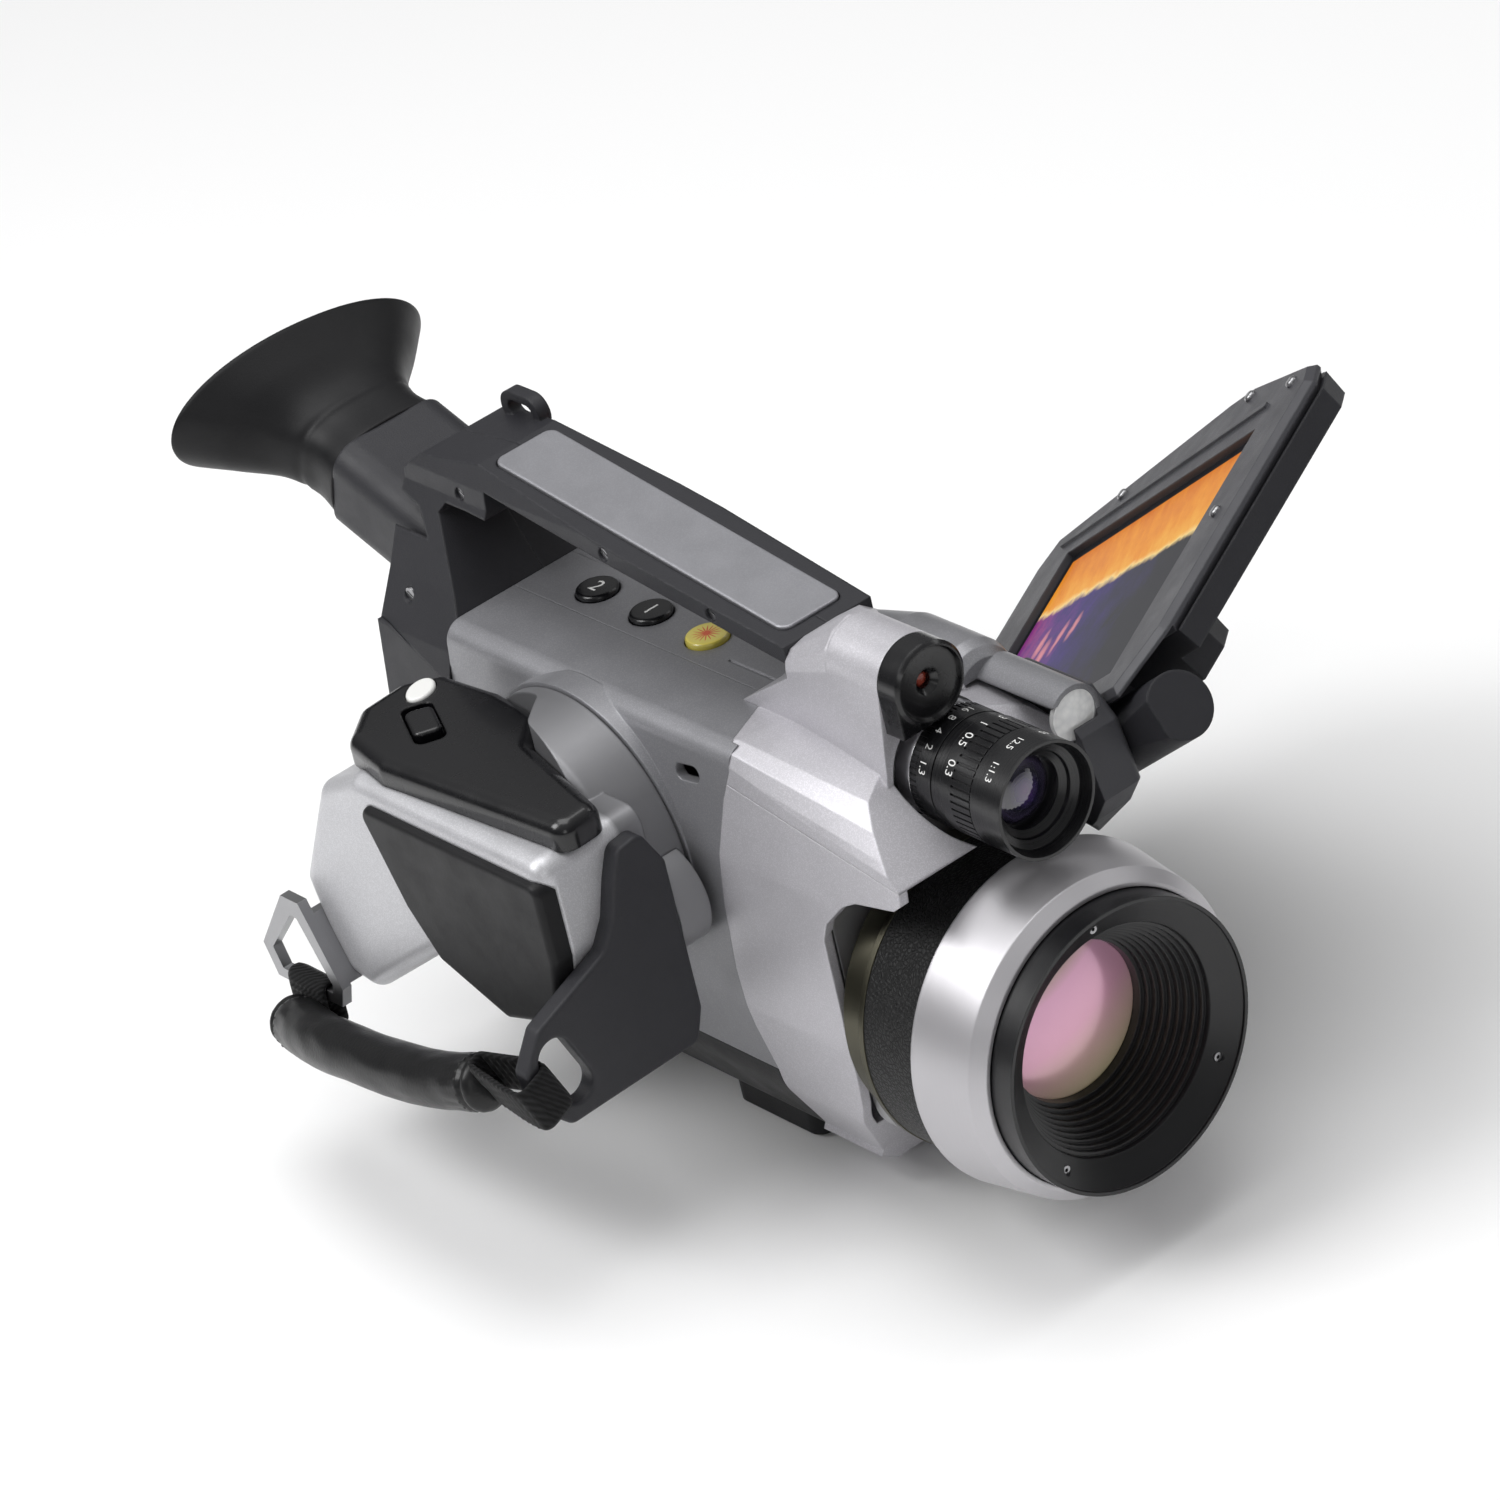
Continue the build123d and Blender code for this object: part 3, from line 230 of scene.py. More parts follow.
mats["sensor_metal"] = surface("sensor_metal", (0.5, 0.5, 0.51), 0.5, 0.9, grain=3600, depth=0.15)
mats["screw_steel"] = surface("screw_steel", (0.36, 0.36, 0.37), 0.34, 1.0, grain=6000, depth=0.06,
                              worn=0.3, radius=0.15)
mats["brass_insert"] = surface("brass_insert", (0.62, 0.46, 0.2), 0.3, 1.0, grain=6000, depth=0.08)
mats["lens_black"] = spun("lens_black", (0.004, 0.004, 0.005), 0.36, LENS_Z, metal=0.0, depth=0.08,
                          coat=0.05, radius=0.35)
mats["tv_black"] = spun("tv_black", (0.005, 0.005, 0.006), 0.3, TV_Z, metal=0.0, depth=0.08, coat=0.12,
                        radius=0.25)
mats["ring_aluminium"] = spun("ring_aluminium", (0.52, 0.51, 0.53), 0.44, LENS_Z, lines=7000, depth=0.04,
                              metal=0.75, radius=0.6, spread=0.02)
mats["mount_metal"] = spun("mount_metal", (0.10, 0.095, 0.07), 0.35, LENS_Z, depth=0.06)
mats["bright_ring"] = spun("bright_ring", (0.85, 0.85, 0.86), 0.18, TV_Z, depth=0.04)


def leather():
    """Grained covering of the lens barrel, with painted shade in the grooves between pebbles."""
    g = Graph("leather_black")
    cells = g.put("TexVoronoi", {"Vector": g.coord, "Scale": 900.0, "Randomness": 1.0},
                  feature="DISTANCE_TO_EDGE").outputs["Distance"]
    pebble = g.remap(cells, 0.0, 0.22, 0.0, 1.0)
    fine = g.noise(3200.0, 3.0)
    height = g.math("ADD", g.math("MULTIPLY", pebble, 0.8), g.math("MULTIPLY", fine, 0.35))
    rounded, rim = g.edges(0.4 * MM)
    # grooves between the pebbles are painted darker: painted shade
    tint = g.mix(pebble, (0.002, 0.002, 0.002), (0.008, 0.008, 0.0085))
    tint = g.mix(g.math("MULTIPLY", rim, 0.3), tint, (0.03, 0.03, 0.03))
    g.set(color=tint, rough=g.remap(pebble, 0.0, 1.0, 0.62, 0.43), sheen=0.04, spec=0.3,
          normal=g.bump(height, 0.5, 0.0003, rounded))
    return g


GERMANIUM_REFLECTION_SPAN = (0.030, 0.076)     # lower and upper end of the painted reflection's colour run over the element


def germanium():
    """Coated infrared element with a painted reflection: olive at the upper edge, pink across, cream below.
    """
    g = Graph("germanium")
    spot = g.put("SeparateXYZ", {0: g.coord}).outputs
    lean = g.math("ADD", g.math("MULTIPLY", spot[2], 0.93), g.math("MULTIPLY", spot[0], -0.30))
    place = g.remap(lean, *GERMANIUM_REFLECTION_SPAN, 0.0, 1.0)
    place = g.math("ADD", place, g.remap(g.noise(40.0), 0.0, 1.0, -0.02, 0.02))
    # colour run across the element is a painted reflection of the coating: olive above, pink across, cream
    # below
    tint = g.ramp(place, [(0.0, (0.86, 0.80, 0.45)), (0.22, (0.88, 0.62, 0.52)),
                          (0.45, (0.86, 0.45, 0.60)), (0.68, (0.80, 0.42, 0.60)),
                          (0.82, (0.35, 0.33, 0.16)), (1.0, (0.05, 0.07, 0.03))])
    dust = g.remap(g.noise(900.0, 4.0, 0.7), 0.55, 0.75, 0.0, 0.05)
    g.set(color=tint, metal=0.35, coat=0.6, coat_rough=0.03, rough=g.math("ADD", dust, 0.22))
    return g


TV_GLASS_R = 0.0088


def coated_glass():
    """Daylight lens glass: dark violet, with a paler middle and a paler ring painted as reflections in the
    coated elements.
    """
    g = Graph("coated_glass")
    spot = g.put("SeparateXYZ", {0: g.coord}).outputs
    radial = g.length(spot[0], g.math("SUBTRACT", spot[2], TV_Z))
    ripple = g.remap(g.noise(250.0), 0.0, 1.0, -0.08, 0.08)
    place = g.math("ADD", g.remap(radial, 0.0, TV_GLASS_R, 0.0, 1.0), ripple)
    # the paler middle and paler ring are painted reflections of the coated elements
    tint = g.ramp(place, [(0.0, (0.10, 0.04, 0.15)), (0.3, (0.035, 0.02, 0.09)), (0.55, (0.01, 0.01, 0.02)),
                          (0.75, (0.05, 0.04, 0.08)), (1.0, (0.004, 0.004, 0.005))])
    g.set(color=tint, rough=0.06, coat=1.0, coat_rough=0.02, spec=0.8)
    return g


def lamp():
    """Clear cap over a white reflector, lit from within by a faint glow."""
    g = Graph("lamp_white")
    cells = g.put("TexVoronoi", {"Vector": g.coord, "Scale": 620.0}).outputs["Distance"]
    g.set(color=g.mix(cells, (0.86, 0.86, 0.85), (0.62, 0.63, 0.64)), rough=0.2, coat=0.5,
          coat_rough=0.05, emit=(1.0, 0.99, 0.97), emit_power=0.08,
          normal=g.bump(cells, 0.12, 0.0004))
    return g


def laser_glass():
    """Dark red window of the laser pointer, with a faint painted red glow."""
    g = Graph("laser_red")
    # the faint red emission is a painted glow on the window
    g.set(color=g.mix(g.noise(1500.0, 3.0), (0.16, 0.02, 0.015), (0.34, 0.07, 0.04)), rough=0.2,
          coat=0.5, emit=(0.6, 0.08, 0.05), emit_power=0.03)
    return g


STAR_POINTS = 16
STAR_TIP, STAR_VALLEY = 3.7 * MM, 0.9 * MM
KEY_SHADED_SIDE_R = 5.0 * MM           # beyond this radius the key turns down into its side, painted darker as shade


def star_button():
    """Yellow key with a red starburst, and painted shade darkening its side."""
    g = Graph("button_yellow")
    low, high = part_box("laser_button")
    spot = g.put("SeparateXYZ", {0: g.coord}).outputs
    x = g.math("SUBTRACT", spot[0], (low.x + high.x) / 2)
    y = g.math("SUBTRACT", spot[1], (low.y + high.y) / 2)
    radial = g.length(x, y)
    angle = g.math("ARCTAN2", y, x)
    rays = g.math("ABSOLUTE", g.math("SINE", g.math("MULTIPLY", angle, STAR_POINTS / 2)))
    star = g.math("LESS_THAN", radial, g.remap(rays, 0.0, 1.0, STAR_TIP, STAR_VALLEY))
    rounded = g.edges(0.5 * MM)[0]
    ground = g.mix(g.noise(300.0, 3.0), (0.74, 0.61, 0.10), (0.84, 0.73, 0.20))
    tint = g.mix(star, ground, (0.72, 0.10, 0.03))
    # the key's side is painted a darker yellow: painted shade
    side = g.math("GREATER_THAN", radial, KEY_SHADED_SIDE_R)
    tint = g.mix(g.math("MULTIPLY", side, 0.8), tint, (0.45, 0.38, 0.05))
    g.set(color=tint, rough=0.3, coat=0.5, coat_rough=0.1,
          normal=g.bump(g.noise(2000.0), 0.02, 0.0003, rounded))
    return g


GRIP_SPLIT = (-0.0535, -0.0520)     # the drum's grey takes over from the hand part between these


def grip_paint():
    """Silver hand part of the grip, and the greyer drum that turns on the body."""
    g = surface("grip_silver", (0.50, 0.50, 0.52), 0.4, 0.45, grain=5000, depth=0.03, coat=0.1,
                coat_rough=0.3, spread=0.03, flakes=0.5, worn=0.2, radius=0.8)
    color_in = g.bsdf.inputs["Base Color"]
    silver = color_in.links[0].from_socket
    spot = g.put("SeparateXYZ", {0: g.coord}).outputs
    drum = g.remap(spot[0], *GRIP_SPLIT, 0.0, 1.0)
    g.tree.links.new(g.mix(drum, silver, (0.21, 0.21, 0.22)), color_in)
    return g


mats["grip_silver"] = grip_paint()
mats["leather_black"] = leather()
mats["germanium"] = germanium()
mats["coated_glass"] = coated_glass()
mats["lamp_white"] = lamp()
mats["laser_red"] = laser_glass()
mats["button_yellow"] = star_button()

# ---------------------------------------------------------------- display frame
# AX_A runs along the display's hinge, AX_B up the panel from it
PITCH, TOE, FOLD = (math.radians(a) for a in (35.0, 4.0, 65.0))
AX_A = Vector((-math.sin(TOE), -math.cos(TOE) * math.cos(PITCH), math.cos(TOE) * math.sin(PITCH)))
AX_S = Vector((math.cos(TOE), -math.sin(TOE) * math.cos(PITCH), math.sin(TOE) * math.sin(PITCH)))
AX_U = AX_A.cross(AX_S)
AX_B = AX_S * math.sin(FOLD) + AX_U * math.cos(FOLD)
LCD_CENTRE = Vector((82.5, -21.0, 95.5)) * MM

# millimetres from the middle of the screen, along AX_A and AX_B
SCREEN_HALF_A, SCREEN_HALF_B = 54.0, 33.0
HORIZON = 12.5
FIGURES = ((-22, 0, 3.0, 6.0), (-30, -4, 3.5, 7.0), (-14, 1, 2.4, 5.0), (-36, 2, 2.6, 5.5))


def thermal_screen():
    """Lit thermal picture: a hot band at the outer edge, then a violet field with faint figures."""
    g = Graph("thermal_screen")
    at = g.put("VectorMath", {0: g.coord, 1: LCD_CENTRE}, operation="SUBTRACT").outputs[0]
    u = g.math("MULTIPLY", g.dot(at, AX_A), 1000.0)
    v = g.math("MULTIPLY", g.dot(at, AX_B), 1000.0)
    wobble = g.remap(g.noise(140.0, 4.0, 0.6), 0.0, 1.0, -3.0, 3.0)
    border = g.math("ADD", g.math("MULTIPLY", u, 0.05), g.math("ADD", v, wobble))
    hot_noise = g.noise(60.0, 5.0, 0.7, g.scaled((1.0, 1.0, 3.0)))
    hot = g.ramp(g.math("ADD", g.math("MULTIPLY", hot_noise, 0.5), g.remap(v, 10.0, 36.0, 0.5, 0.18)),
                 [(0.2, (0.40, 0.08, 0.004)), (0.45, (0.72, 0.19, 0.005)), (0.62, (0.86, 0.30, 0.008)),
                  (0.8, (0.95, 0.48, 0.05))])
    glow = g.remap(g.math("ABSOLUTE", g.math("SUBTRACT", border, HORIZON)), 0.0, 1.8, 1.0, 0.0)
    field_noise = g.noise(90.0, 5.0, 0.75)
    across = g.remap(u, 45.0, -45.0, -0.25, 0.42)
    cold = g.ramp(g.math("ADD", g.math("MULTIPLY", field_noise, 0.6), across),
                  [(0.16, (0.003, 0.003, 0.008)), (0.34, (0.012, 0.008, 0.06)),
                   (0.52, (0.03, 0.008, 0.15)), (0.66, (0.12, 0.012, 0.20)), (0.8, (0.28, 0.03, 0.2))])
    figures = 0.0
    for fu, fv, ru, rv in FIGURES:
        du = g.math("DIVIDE", g.math("ADD", g.math("SUBTRACT", u, fu), wobble), ru)
        dv = g.math("DIVIDE", g.math("SUBTRACT", v, fv), rv)
        squares = g.math("ADD", g.math("MULTIPLY", du, du), g.math("MULTIPLY", dv, dv))
        blob = g.math("SUBTRACT", 1.0, squares, clamp=True)
        figures = g.math("ADD", figures, blob, clamp=True)
    cold = g.mix(g.math("MULTIPLY", figures, 0.8), cold, (0.85, 0.30, 0.30))
    picture = g.mix(g.math("GREATER_THAN", border, HORIZON), cold, hot)
    picture = g.mix(g.math("MULTIPLY", glow, 0.85), picture, (1.0, 0.72, 0.28))
    rows = g.math("ADD", g.math("MULTIPLY", g.math("SINE", g.math("MULTIPLY", v, 14.0)), 0.03), 0.97)
    row_color = g.put("CombineColor", {0: rows, 1: rows, 2: rows}).outputs[0]
    lit = g.mix(1.0, picture, row_color, "MULTIPLY")
    inside = g.math("MULTIPLY", g.math("LESS_THAN", g.math("ABSOLUTE", u), SCREEN_HALF_A),
                    g.math("LESS_THAN", g.math("ABSOLUTE", v), SCREEN_HALF_B))
    lit = g.mix(inside, (0.004, 0.004, 0.005), lit)
    g.set(color=g.mix(field_noise, (0.003, 0.003, 0.004), (0.006, 0.006, 0.008)), rough=0.4, spec=0.08,
          emit=lit, emit_power=0.9)
    return g


mats["thermal_screen"] = thermal_screen()

# each node wears the look of its material slot, but for those that differ from their slot's others
SLOT_LOOK = {entry["node"]: entry["material_slot"] for entry in frame["record"]["subparts"]}
# belly_tub and base_block take the near-black belly look, which carries painted shade of the underside
OWN_LOOK = {"belly_tub": "belly_black_and_shade", "base_block": "belly_black_and_shade", "tv_barrel": "tv_black",
            "lcd_bracket": "bezel_grey", "laser_bezel": "gloss_black", "grip_body": "grip_silver",
            "tv_focus_ring": "tv_black", "tv_iris_ring": "tv_black", "grip_knob": "knob_grey",
            "strap_pad": "rubber_black", "strap_webbing_front": "rubber_black",
            "strap_webbing_rear": "rubber_black"}
for name, piece in nodes.items():
    piece.data.materials.clear()
    piece.data.materials.append(mats[OWN_LOOK.get(name, SLOT_LOOK[name])].mat)


# ---------------------------------------------------------------- mesh helpers
def mesh_piece(name, verts, faces, material, body, slot):
    """Smooth-shaded mesh that rides on a body."""
    mesh = bpy.data.meshes.new(name)
    mesh.from_pydata([tuple(v) for v in verts], [], faces)
    mesh.validate()
    mesh.update()
    for poly in mesh.polygons:
        poly.use_smooth = True
    piece = bpy.data.objects.new(name, mesh)
    bpy.context.scene.collection.objects.link(piece)
    piece.data.materials.append(material)
    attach(piece, body)
    return piece


# ---------------------------------------------------------------- digits on the keys and lens
ink = surface("printed_white", (0.75, 0.75, 0.74), 0.5, grain=3000, depth=0.02, worn=0.0,
              radius=0.05)
INK_LIFT = 0.02 * MM            # print above the key it is on
RING_LIFT = 0.03                # and above the lens rings, in mm


def digits(name, text, size, place, body):
    """Flat digits turned into a thin mesh; place maps a flat point in metres to its spot."""
    curve = bpy.data.curves.new(name, "FONT")
    curve.body = text
    curve.size = size
    curve.align_x = "CENTER"
    curve.align_y = "CENTER"
    holder = bpy.data.objects.new(name + "_tmp", curve)
    bpy.context.scene.collection.objects.link(holder)
    bpy.context.view_layer.update()
    flat = bpy.data.meshes.new_from_object(holder)
    bpy.data.objects.remove(holder)
    bm = bmesh.new()
    bm.from_mesh(flat)
    bmesh.ops.triangulate(bm, faces=bm.faces)
    for vert in bm.verts:
        vert.co = place(vert.co.x, vert.co.y)
    bm.to_mesh(flat)
    bm.free()
    piece = bpy.data.objects.new(name, flat)
    bpy.context.scene.collection.objects.link(piece)
    piece.data.materials.clear()
    piece.data.materials.append(ink.mat)
    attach(piece, body)
    return piece


for node, body, text in (("button_one", "key_one", "1"), ("button_two", "key_two", "2")):
    low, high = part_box(node)
    centre = (low + high) / 2

    def on_key(a, b, centre=centre, top=high.z):
        return Vector((centre.x + b, centre.y - a, top + INK_LIFT))

    digits("digit_" + node[7:], text, 6.0 * MM, on_key, body)


def round_lens(radius, y, start):
    """Digits that read round the daylight lens; start is the angle from the top."""
    def place(a, b):
        angle = start + a / radius
        return Vector((-math.sin(angle) * radius, y - b, TV_Z + math.cos(angle) * radius))
    return place


# ring, body, place along the lens, ring radius, digit size, then digits with degrees from the top
TV_MARKS = [("focus", "tv_focus", -86.0, 14.0, 3.3,
             [("0.3", 52), ("0.5", 22), ("1", -2), ("3", -24), ("8", -46)]),
            ("iris", "tv_iris", -77.2, 13.8, 3.0,
             [("1.3", 62), ("2", 42), ("4", 24), ("8", 6), ("16", -14)]),
            ("front", "camera", -98.5, 14.0, 2.8, [("1:1.3", 40), ("12.5", 5), ("45", -30)])]
for group, body, y, radius, size, marks in TV_MARKS:
    for index, (text, angle) in enumerate(marks):
        digits(f"{group}_mark_{index}", text, size * MM,
               round_lens((radius + RING_LIFT) * MM, y * MM, math.radians(angle)), body)


# ---------------------------------------------------------------- strap pad, webbing, eyecup
vinyl = surface("strap_vinyl", (0.005, 0.005, 0.0055), 0.36, 0.0, grain=1300, depth=0.2, spread=0.2,
                worn=0.0, radius=0.3, coat=0.05, coat_rough=0.35, spec=0.35)
stitch = surface("stitch_thread", (0.03, 0.03, 0.03), 0.7, grain=5000, depth=0.3, worn=0.0, radius=0.05)


def weave():
    """Slanted ribs and threads of the black webbing."""
    g = Graph("webbing")
    ribs = g.put("TexWave", {"Vector": g.coord, "Scale": 380.0, "Distortion": 0.6, "Detail": 1.0},
                 wave_type="BANDS", bands_direction="DIAGONAL").outputs["Fac"]
    threads = g.noise(4200.0, 3.0)
    g.set(color=g.mix(ribs, (0.002, 0.002, 0.002), (0.010, 0.010, 0.011)), rough=0.72, sheen=0.06,
          spec=0.2, normal=g.bump(g.math("ADD", ribs, g.math("MULTIPLY", threads, 0.4)), 0.5, 0.0003))
    return g


webbing_mat = weave()

STRAP_POINTS = [Vector(p) * MM for p in
                ((-86, 98, 34.5), (-93, 70, 41.5), (-95, 30, 48.5), (-93, 2, 55.5))]
STRAP_LENGTH = 102 * MM
STRAP_R = 6.75 * MM
STRAP_CAP = 4.0 * MM            # length of each rolled end
END_SEAMS = (0.055, 0.945)      # shares of the length
END_SEAM_DIP = 0.75 * MM
LONG_SEAM_ANGLE, LONG_SEAM_DIP = 4.2, 0.7 * MM
STITCH_ROWS = (("rear", 0.075), ("front", 0.925))
STITCH_R = 6.62 * MM


def spline_point(points, t):
    """Catmull-Rom through the points, t from 0 to 1."""
    n = len(points) - 1
    k = min(int(t * n), n - 1)
    f = t * n - k
    p1, p2 = points[k], points[k + 1]
    p0 = points[k - 1] if k else p1 + (p1 - p2)
    p3 = points[k + 2] if k + 2 <= n else p2 + (p2 - p1)
    return 0.5 * ((2 * p1) + (p2 - p0) * f + (2 * p0 - 5 * p1 + 4 * p2 - p3) * f ** 2
                  + (3 * p1 - p0 - 3 * p2 + p3) * f ** 3)


def strap_frame(t):
    """Middle of the strap pad at a share of its length, with its up and outward directions."""
    here = spline_point(STRAP_POINTS, t)
    after = spline_point(STRAP_POINTS, min(t + 0.01, 1.0))
    ahead = (after - spline_point(STRAP_POINTS, max(t - 0.01, 0.0))).normalized()
    up = Vector((0, 0, 1))
    up = (up - ahead * up.dot(ahead)).normalized()
    return here, up, ahead.cross(up)


def strap_mesh():
    """Stuffed vinyl tube with rolled ends, end seams and a lengthwise seam along its underside."""
    rings, around = 150, 72
    verts, faces = [], []
    for i in range(rings + 1):
        t = i / rings
        cap = min(1.0, min(t, 1 - t) * STRAP_LENGTH / STRAP_CAP)
        swell = math.sqrt(max(0.0, 1 - (1 - cap) ** 2))
        here, up, out = strap_frame(t)
        seam_dip = sum(END_SEAM_DIP * math.exp(-((t - place) / 0.008) ** 2) for place in END_SEAMS)
        pucker = math.exp(-((min(t, 1 - t) - 0.09) / 0.05) ** 2)
        for j in range(around):
            angle = 2 * math.pi * j / around
            radius = STRAP_R * max(swell, 0.18) - seam_dip
            key = Vector((math.cos(angle) * 1.3, math.sin(angle) * 1.3, t * 9.0))
            crease = Vector((angle * 5.0, t * 6.0, 3.1))
            radius += 0.28 * MM * noise.noise(key * 1.4) + 0.30 * MM * pucker * noise.noise(crease)
            radius -= LONG_SEAM_DIP * math.exp(-((angle - LONG_SEAM_ANGLE) / 0.07) ** 2)
            verts.append(here + (out * math.cos(angle) + up * math.sin(angle)) * radius)
    for i in range(rings):
        for j in range(around):
            k = (j + 1) % around
            faces.append((i * around + j, i * around + k, (i + 1) * around + k, (i + 1) * around + j))
    for row in (0, rings):
        verts.append(strap_frame(row / rings)[0])
        hub = len(verts) - 1
        for j in range(around):
            a, b = row * around + j, row * around + (j + 1) % around
            faces.append((hub, b, a) if row == 0 else (hub, a, b))
    return verts, faces


pad = mesh_piece("strap_pad_skin", *strap_mesh(), vinyl.mat, "grip", "strap_vinyl")
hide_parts("strap_pad")


def stitch_line(name, path, body, slot, length=1.0 * MM, thick=0.22 * MM):
    """Row of short thread stitches that follows a path of (point, normal) pairs."""
    verts, faces = [], []
    for (a, na), (b, nb) in zip(path[::2], path[1::2]):
        along = (b - a).normalized()
        normal = ((na + nb) / 2).normalized()
        side = along.cross(normal).normalized()
        mid = (a + b) / 2
        for step in range(7):
            f = step / 6 * 2 - 1
            size = thick * math.sqrt(max(0.05, 1 - f * f))
            centre = mid + along * (f * length / 2) + normal * (thick * 0.5 * (1 - f * f))
            for c in range(6):
                w = math.pi * c / 3
                verts.append(centre + (side * math.cos(w) + normal * math.sin(w)) * size)
        base = len(verts) - 42
        for step in range(6):
            for c in range(6):
                d = (c + 1) % 6
                faces.append((base + step * 6 + c, base + step * 6 + d,
                              base + (step + 1) * 6 + d, base + (step + 1) * 6 + c))
    return mesh_piece(name, verts, faces, stitch.mat, body, slot)


def strap_ring_path(t, radius, count):
    """Points with normals round the strap pad at a share of its length."""
    here, up, out = strap_frame(t)
    path = []
    for j in range(count):
        angle = 2 * math.pi * j / count
        normal = out * math.cos(angle) + up * math.sin(angle)
        path.append((here + normal * radius, normal))
    return path


for label, t in STITCH_ROWS:
    stitch_line(f"strap_stitches_{label}", strap_ring_path(t, STITCH_R, 44), "grip", "strap_vinyl")

# ---------------------------------------------------------------- webbing loops
WEB_T = 1.5 * MM
RIB_PITCH, RIB_HEIGHT = 1.9 * MM, 0.16 * MM


def ribbed_loop(name, outline, along, half, body, replaced):
    """Flat webbing folded along a closed outline (points), swept half each way along a direction."""
    dense = []
    count = len(outline)
    for k in range(count):
        a, b = outline[k], outline[(k + 1) % count]
        steps = max(2, int((b - a).length / (0.5 * MM)))
        dense += [a.lerp(b, s / steps) for s in range(steps)]
    for _ in range(5):
        dense = [(dense[k - 1] + dense[k] * 2 + dense[(k + 1) % len(dense)]) / 4
                 for k in range(len(dense))]
    columns = 15
    verts, faces = [], []
    n = len(dense)
    run = 0.0
    for k in range(n):
        tangent = (dense[(k + 1) % n] - dense[k - 1]).normalized()
        normal = along.cross(tangent).normalized()
        run += (dense[k] - dense[k - 1]).length
        rib = RIB_HEIGHT * math.sin(run * 2 * math.pi / RIB_PITCH)
        for side in (1, -1):
            for c in range(columns + 1):
                f = c / columns * 2 - 1
                edge = math.sqrt(max(0.0, 1 - abs(f) ** 10))
                verts.append(dense[k] + along * (f * half)
                             + normal * side * ((WEB_T / 2) * (0.45 + 0.55 * edge) + rib * edge))
    ring = 2 * (columns + 1)
    for k in range(n):
        m = (k + 1) % n
        for c in range(columns):
            faces.append((k * ring + c, k * ring + c + 1, m * ring + c + 1, m * ring + c))
            o = columns + 1
            faces.append((k * ring + o + c, m * ring + o + c,
                          m * ring + o + c + 1, k * ring + o + c + 1))
        for c in (0, columns):
            a, b = k * ring + c, k * ring + columns + 1 + c
            d, e = m * ring + c, m * ring + columns + 1 + c
            faces.append((a, d, e, b) if c == 0 else (b, e, d, a))
    piece = mesh_piece(name, verts, faces, webbing_mat.mat, body, "webbing")
    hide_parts(replaced)
    return piece


# the front loop goes through a slot in the grip: SLOT_E points out from it, SLOT_D along it
SLOT_TILT = math.radians(68.0)
SLOT_AT = Vector((-84.3, 0.0, 60.8)) * MM
SLOT_E = Vector((-math.sin(SLOT_TILT), 0, -math.cos(SLOT_TILT)))
SLOT_D = Vector((math.cos(SLOT_TILT), 0, -math.sin(SLOT_TILT)))
front_loop = [SLOT_AT + SLOT_E * (e * MM) + Vector((0, y * MM, 0)) for e, y in
              ((3.5, -12), (3.5, -16.6), (4.6, -17.4), (11.4, -17.4), (12.5, -16.4), (12.5, -11),
               (11.2, 3.5), (7.6, 3.5))]
ribbed_loop("webbing_front", front_loop, SLOT_D, 6.9 * MM, "grip", "strap_webbing_front")
rear_loop = [Vector((x, 93.5, z)) * MM for x, z in
             ((-82.4, 34), (-82.5, 42), (-82.2, 45.4), (-80.2, 45.9), (-78.3, 45.4), (-78.0, 42),
              (-78.0, 34))]
ribbed_loop("webbing_rear", rear_loop, Vector((0, 1, 0)), 7.2 * MM, "grip", "strap_webbing_rear")

# ---------------------------------------------------------------- eyecup
EYE_TILT = math.radians(19.0)
EYE_AT = Vector((0, 98, 122)) * MM
EYE_DIR = Vector((0, math.cos(EYE_TILT), math.sin(EYE_TILT)))
EYE_DOWN = Vector((0, math.sin(EYE_TILT), -math.cos(EYE_TILT)))
# distance along the tube, width, height, corner radius, drop (mm) and roll (degrees)
CUP = [(38, 35, 27, 8, 0, 0), (47, 33.5, 25.5, 8, 0, 0), (56, 42, 26, 10, -0.5, 2),
       (65, 62, 32, 14, -1.2, 5), (73, 78.6, 38.6, 18, -1.5, 6.7)]
CUP_START, CUP_END = CUP[0][0], CUP[-1][0]
CUP_WALL = 2.4
FOLD_AT = 50.5                  # groove round the neck of the cup


def cup_station(t):
    """Width, height, corner radius, drop and roll of the sleeve at a distance along the tube."""
    k = 0
    while k < len(CUP) - 2 and t > CUP[k + 1][0]:
        k += 1
    a, b = CUP[k], CUP[k + 1]
    f = (t - a[0]) / (b[0] - a[0])
    before = CUP[k - 1] if k else a
    after = CUP[k + 2] if k + 2 < len(CUP) else b
    out = []
    for c in range(1, 6):
        m0 = (b[c] - before[c]) / (b[0] - before[0]) * (b[0] - a[0])
        m1 = (after[c] - a[c]) / (after[0] - a[0]) * (b[0] - a[0])
        out.append((2 * f ** 3 - 3 * f ** 2 + 1) * a[c] + (f ** 3 - 2 * f ** 2 + f) * m0
                   + (-2 * f ** 3 + 3 * f ** 2) * b[c] + (f ** 3 - f ** 2) * m1)
    return out


def rounded_point(w, h, r, q):
    """Point at turn q (0 to 1) of a rounded rectangle drawn as a superellipse-like outline."""
    angle = 2 * math.pi * q
    c, s = math.cos(angle), math.sin(angle)
    n = 2.0 + 2.2 * (1 - min(1.0, 2 * r / min(w, h)))
    scale = (abs(c) ** n + abs(s) ** n) ** (-1 / n)
    return c * scale * w / 2, s * scale * h / 2


def cup_wall(start, end, steps):
    """Even steps between two distances along the tube, both ends counted."""
    return [start + (end - start) * step / steps for step in range(steps + 1)]


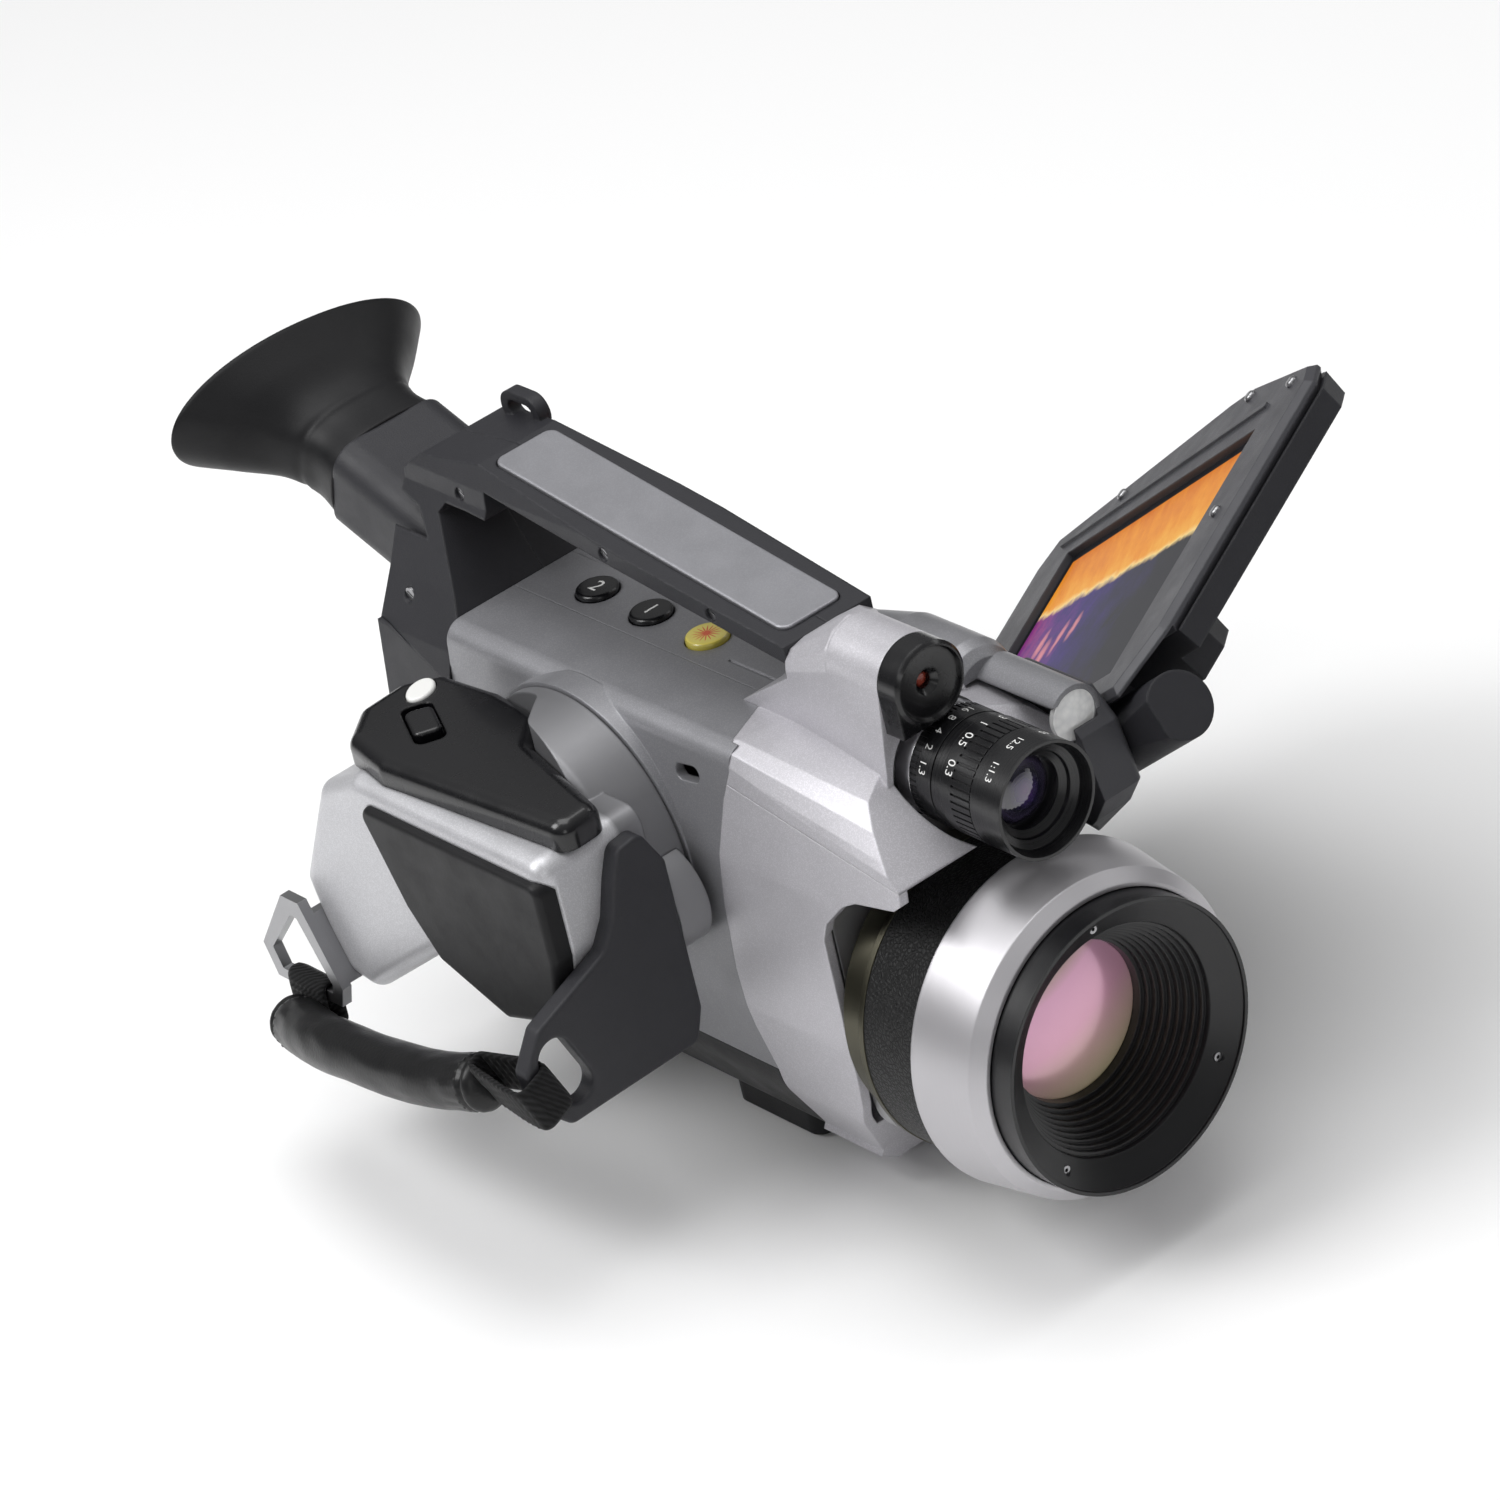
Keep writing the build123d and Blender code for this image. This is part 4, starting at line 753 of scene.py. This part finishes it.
def eyecup_mesh():
    """Open rubber sleeve: out along its outside, round the lip and back along its inside."""
    lip, root = CUP_END - 0.8, CUP_START + 0.6
    profile = [(t, 0.15 + 0.35 * math.exp(-((t - FOLD_AT) / 0.9) ** 2))
               for t in cup_wall(CUP_START, CUP_END - 0.4, 48)]
    profile += [(CUP_END - 0.05, 0.45), (CUP_END, 1.1), (CUP_END - 0.2, 1.8), (lip, 2.3)]
    profile += [(t, CUP_WALL) for t in cup_wall(lip, root, 39)[1:]]
    profile += [(CUP_START + 0.2, 2.2), (CUP_START, 1.6), (CUP_START, 0.8)]
    around = 128
    verts, faces = [], []
    for t, inset in profile:
        w, h, r, drop, roll = cup_station(t)
        lean = math.radians(roll)
        for j in range(around):
            a, b = rounded_point(w - 2 * inset, h - 2 * inset, r, j / around)
            across = a * math.cos(lean) - b * math.sin(lean)
            down = a * math.sin(lean) + b * math.cos(lean) + drop
            verts.append(EYE_AT + EYE_DIR * (t * MM) + Vector((1, 0, 0)) * (across * MM)
                         + EYE_DOWN * (down * MM))
    n = len(profile)
    for i in range(n):
        m = (i + 1) % n
        for j in range(around):
            k = (j + 1) % around
            faces.append((i * around + j, m * around + j, m * around + k, i * around + k))
    return verts, faces


cup = mesh_piece("eyecup_rubber", *eyecup_mesh(), mats["rubber_black"].mat, "viewfinder",
                 "rubber_black")
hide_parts("eyecup")

# ---------------------------------------------------------------- floor, light and camera
def stage_material(name, color):
    """Matt white paper of the floor."""
    g = Graph(name)
    g.set(color=g.mix(g.noise(3.0), shade(color, 0.995), color), rough=0.9, spec=0.1)
    return g.mat


def panel(name, half, place, material):
    """Level square sheet."""
    mesh = bpy.data.meshes.new(name)
    corners = [(-half, -half, 0), (half, -half, 0), (half, half, 0), (-half, half, 0)]
    mesh.from_pydata(corners, [], [(0, 1, 2, 3)])
    piece = bpy.data.objects.new(name, mesh)
    bpy.context.scene.collection.objects.link(piece)
    piece.location = place
    piece.data.materials.append(material)
    return piece


FLOOR_HALF, FLOOR_GAP = 6.0, 0.5 * MM
floor = panel("floor", FLOOR_HALF, (0, 0, -FLOOR_GAP),
              stage_material("floor_white", (0.93, 0.93, 0.93)))


def area_light(name, place, target, size, power):
    """White rectangular light at a place, aimed at a target; size in metres, power in watts."""
    data = bpy.data.lights.new(name, "AREA")
    data.shape = "RECTANGLE"
    data.size, data.size_y = size
    data.energy = power
    lamp_object = bpy.data.objects.new(name, data)
    bpy.context.scene.collection.objects.link(lamp_object)
    lamp_object.location = place
    aim = Vector(target) - Vector(place)
    lamp_object.rotation_euler = aim.to_track_quat("-Z", "Y").to_euler()


area_light("key_light", (-0.8, 0.35, 1.0), (0, 0, 0.09), (0.6, 0.6), 9.0)
area_light("top_light", (0.1, 0.1, 1.6), (0, 0, 0.1), (1.2, 1.2), 12.0)
area_light("front_light", (-0.9, -1.3, 0.6), (0, -0.05, 0.08), (0.5, 0.5), 1.6)
area_light("rim_light", (1.2, -0.3, 0.9), (0.03, -0.05, 0.08), (0.4, 0.6), 1.5)

# the surroundings brighten upwards: grey levels at the bottom, part of the way up and at the top
SKY_STRENGTH = 0.62
SKY_LOW, SKY_MIDDLE, SKY_HIGH = 0.12, 0.34, 1.0
SKY_MIDDLE_AT = 0.35
world = bpy.data.worlds.new("studio")
world.use_nodes = True
web = world.node_tree
sky = web.nodes["Background"]
sky.inputs["Strength"].default_value = SKY_STRENGTH
way = web.nodes.new("ShaderNodeTexCoord")
height = web.nodes.new("ShaderNodeSeparateXYZ")
fade = web.nodes.new("ShaderNodeValToRGB")
web.links.new(way.outputs["Generated"], height.inputs[0])
web.links.new(height.outputs[2], fade.inputs["Fac"])
web.links.new(fade.outputs["Color"], sky.inputs["Color"])
stops = fade.color_ramp.elements
for element, level in ((stops[0], SKY_LOW), (stops[1], SKY_HIGH),
                       (stops.new(SKY_MIDDLE_AT), SKY_MIDDLE)):
    element.color = (level, level, level * 1.01, 1.0)
bpy.context.scene.world = world
bpy.context.scene.view_settings.view_transform = "Standard"

CAMERA_AT = Vector((-873.47, -1345.17, 1008.21)) * MM
HEADING, DIP, ROLL = (math.radians(a) for a in (32.837, 29.603, 13.626))
ahead = Vector((math.sin(HEADING) * math.cos(DIP), math.cos(HEADING) * math.cos(DIP), -math.sin(DIP)))
level = Vector((math.cos(HEADING), -math.sin(HEADING), 0))
right = level * math.cos(ROLL) + ahead.cross(level) * math.sin(ROLL)
data = bpy.data.cameras.new("camera")
data.sensor_width = 36.0
data.lens = 192.0
data.clip_start = 0.05
data.clip_end = 30.0
camera = bpy.data.objects.new("camera", data)
bpy.context.scene.collection.objects.link(camera)
turn = Matrix((right, right.cross(ahead), -ahead)).transposed().to_4x4()
camera.matrix_world = Matrix.Translation(CAMERA_AT) @ turn
bpy.context.scene.camera = camera
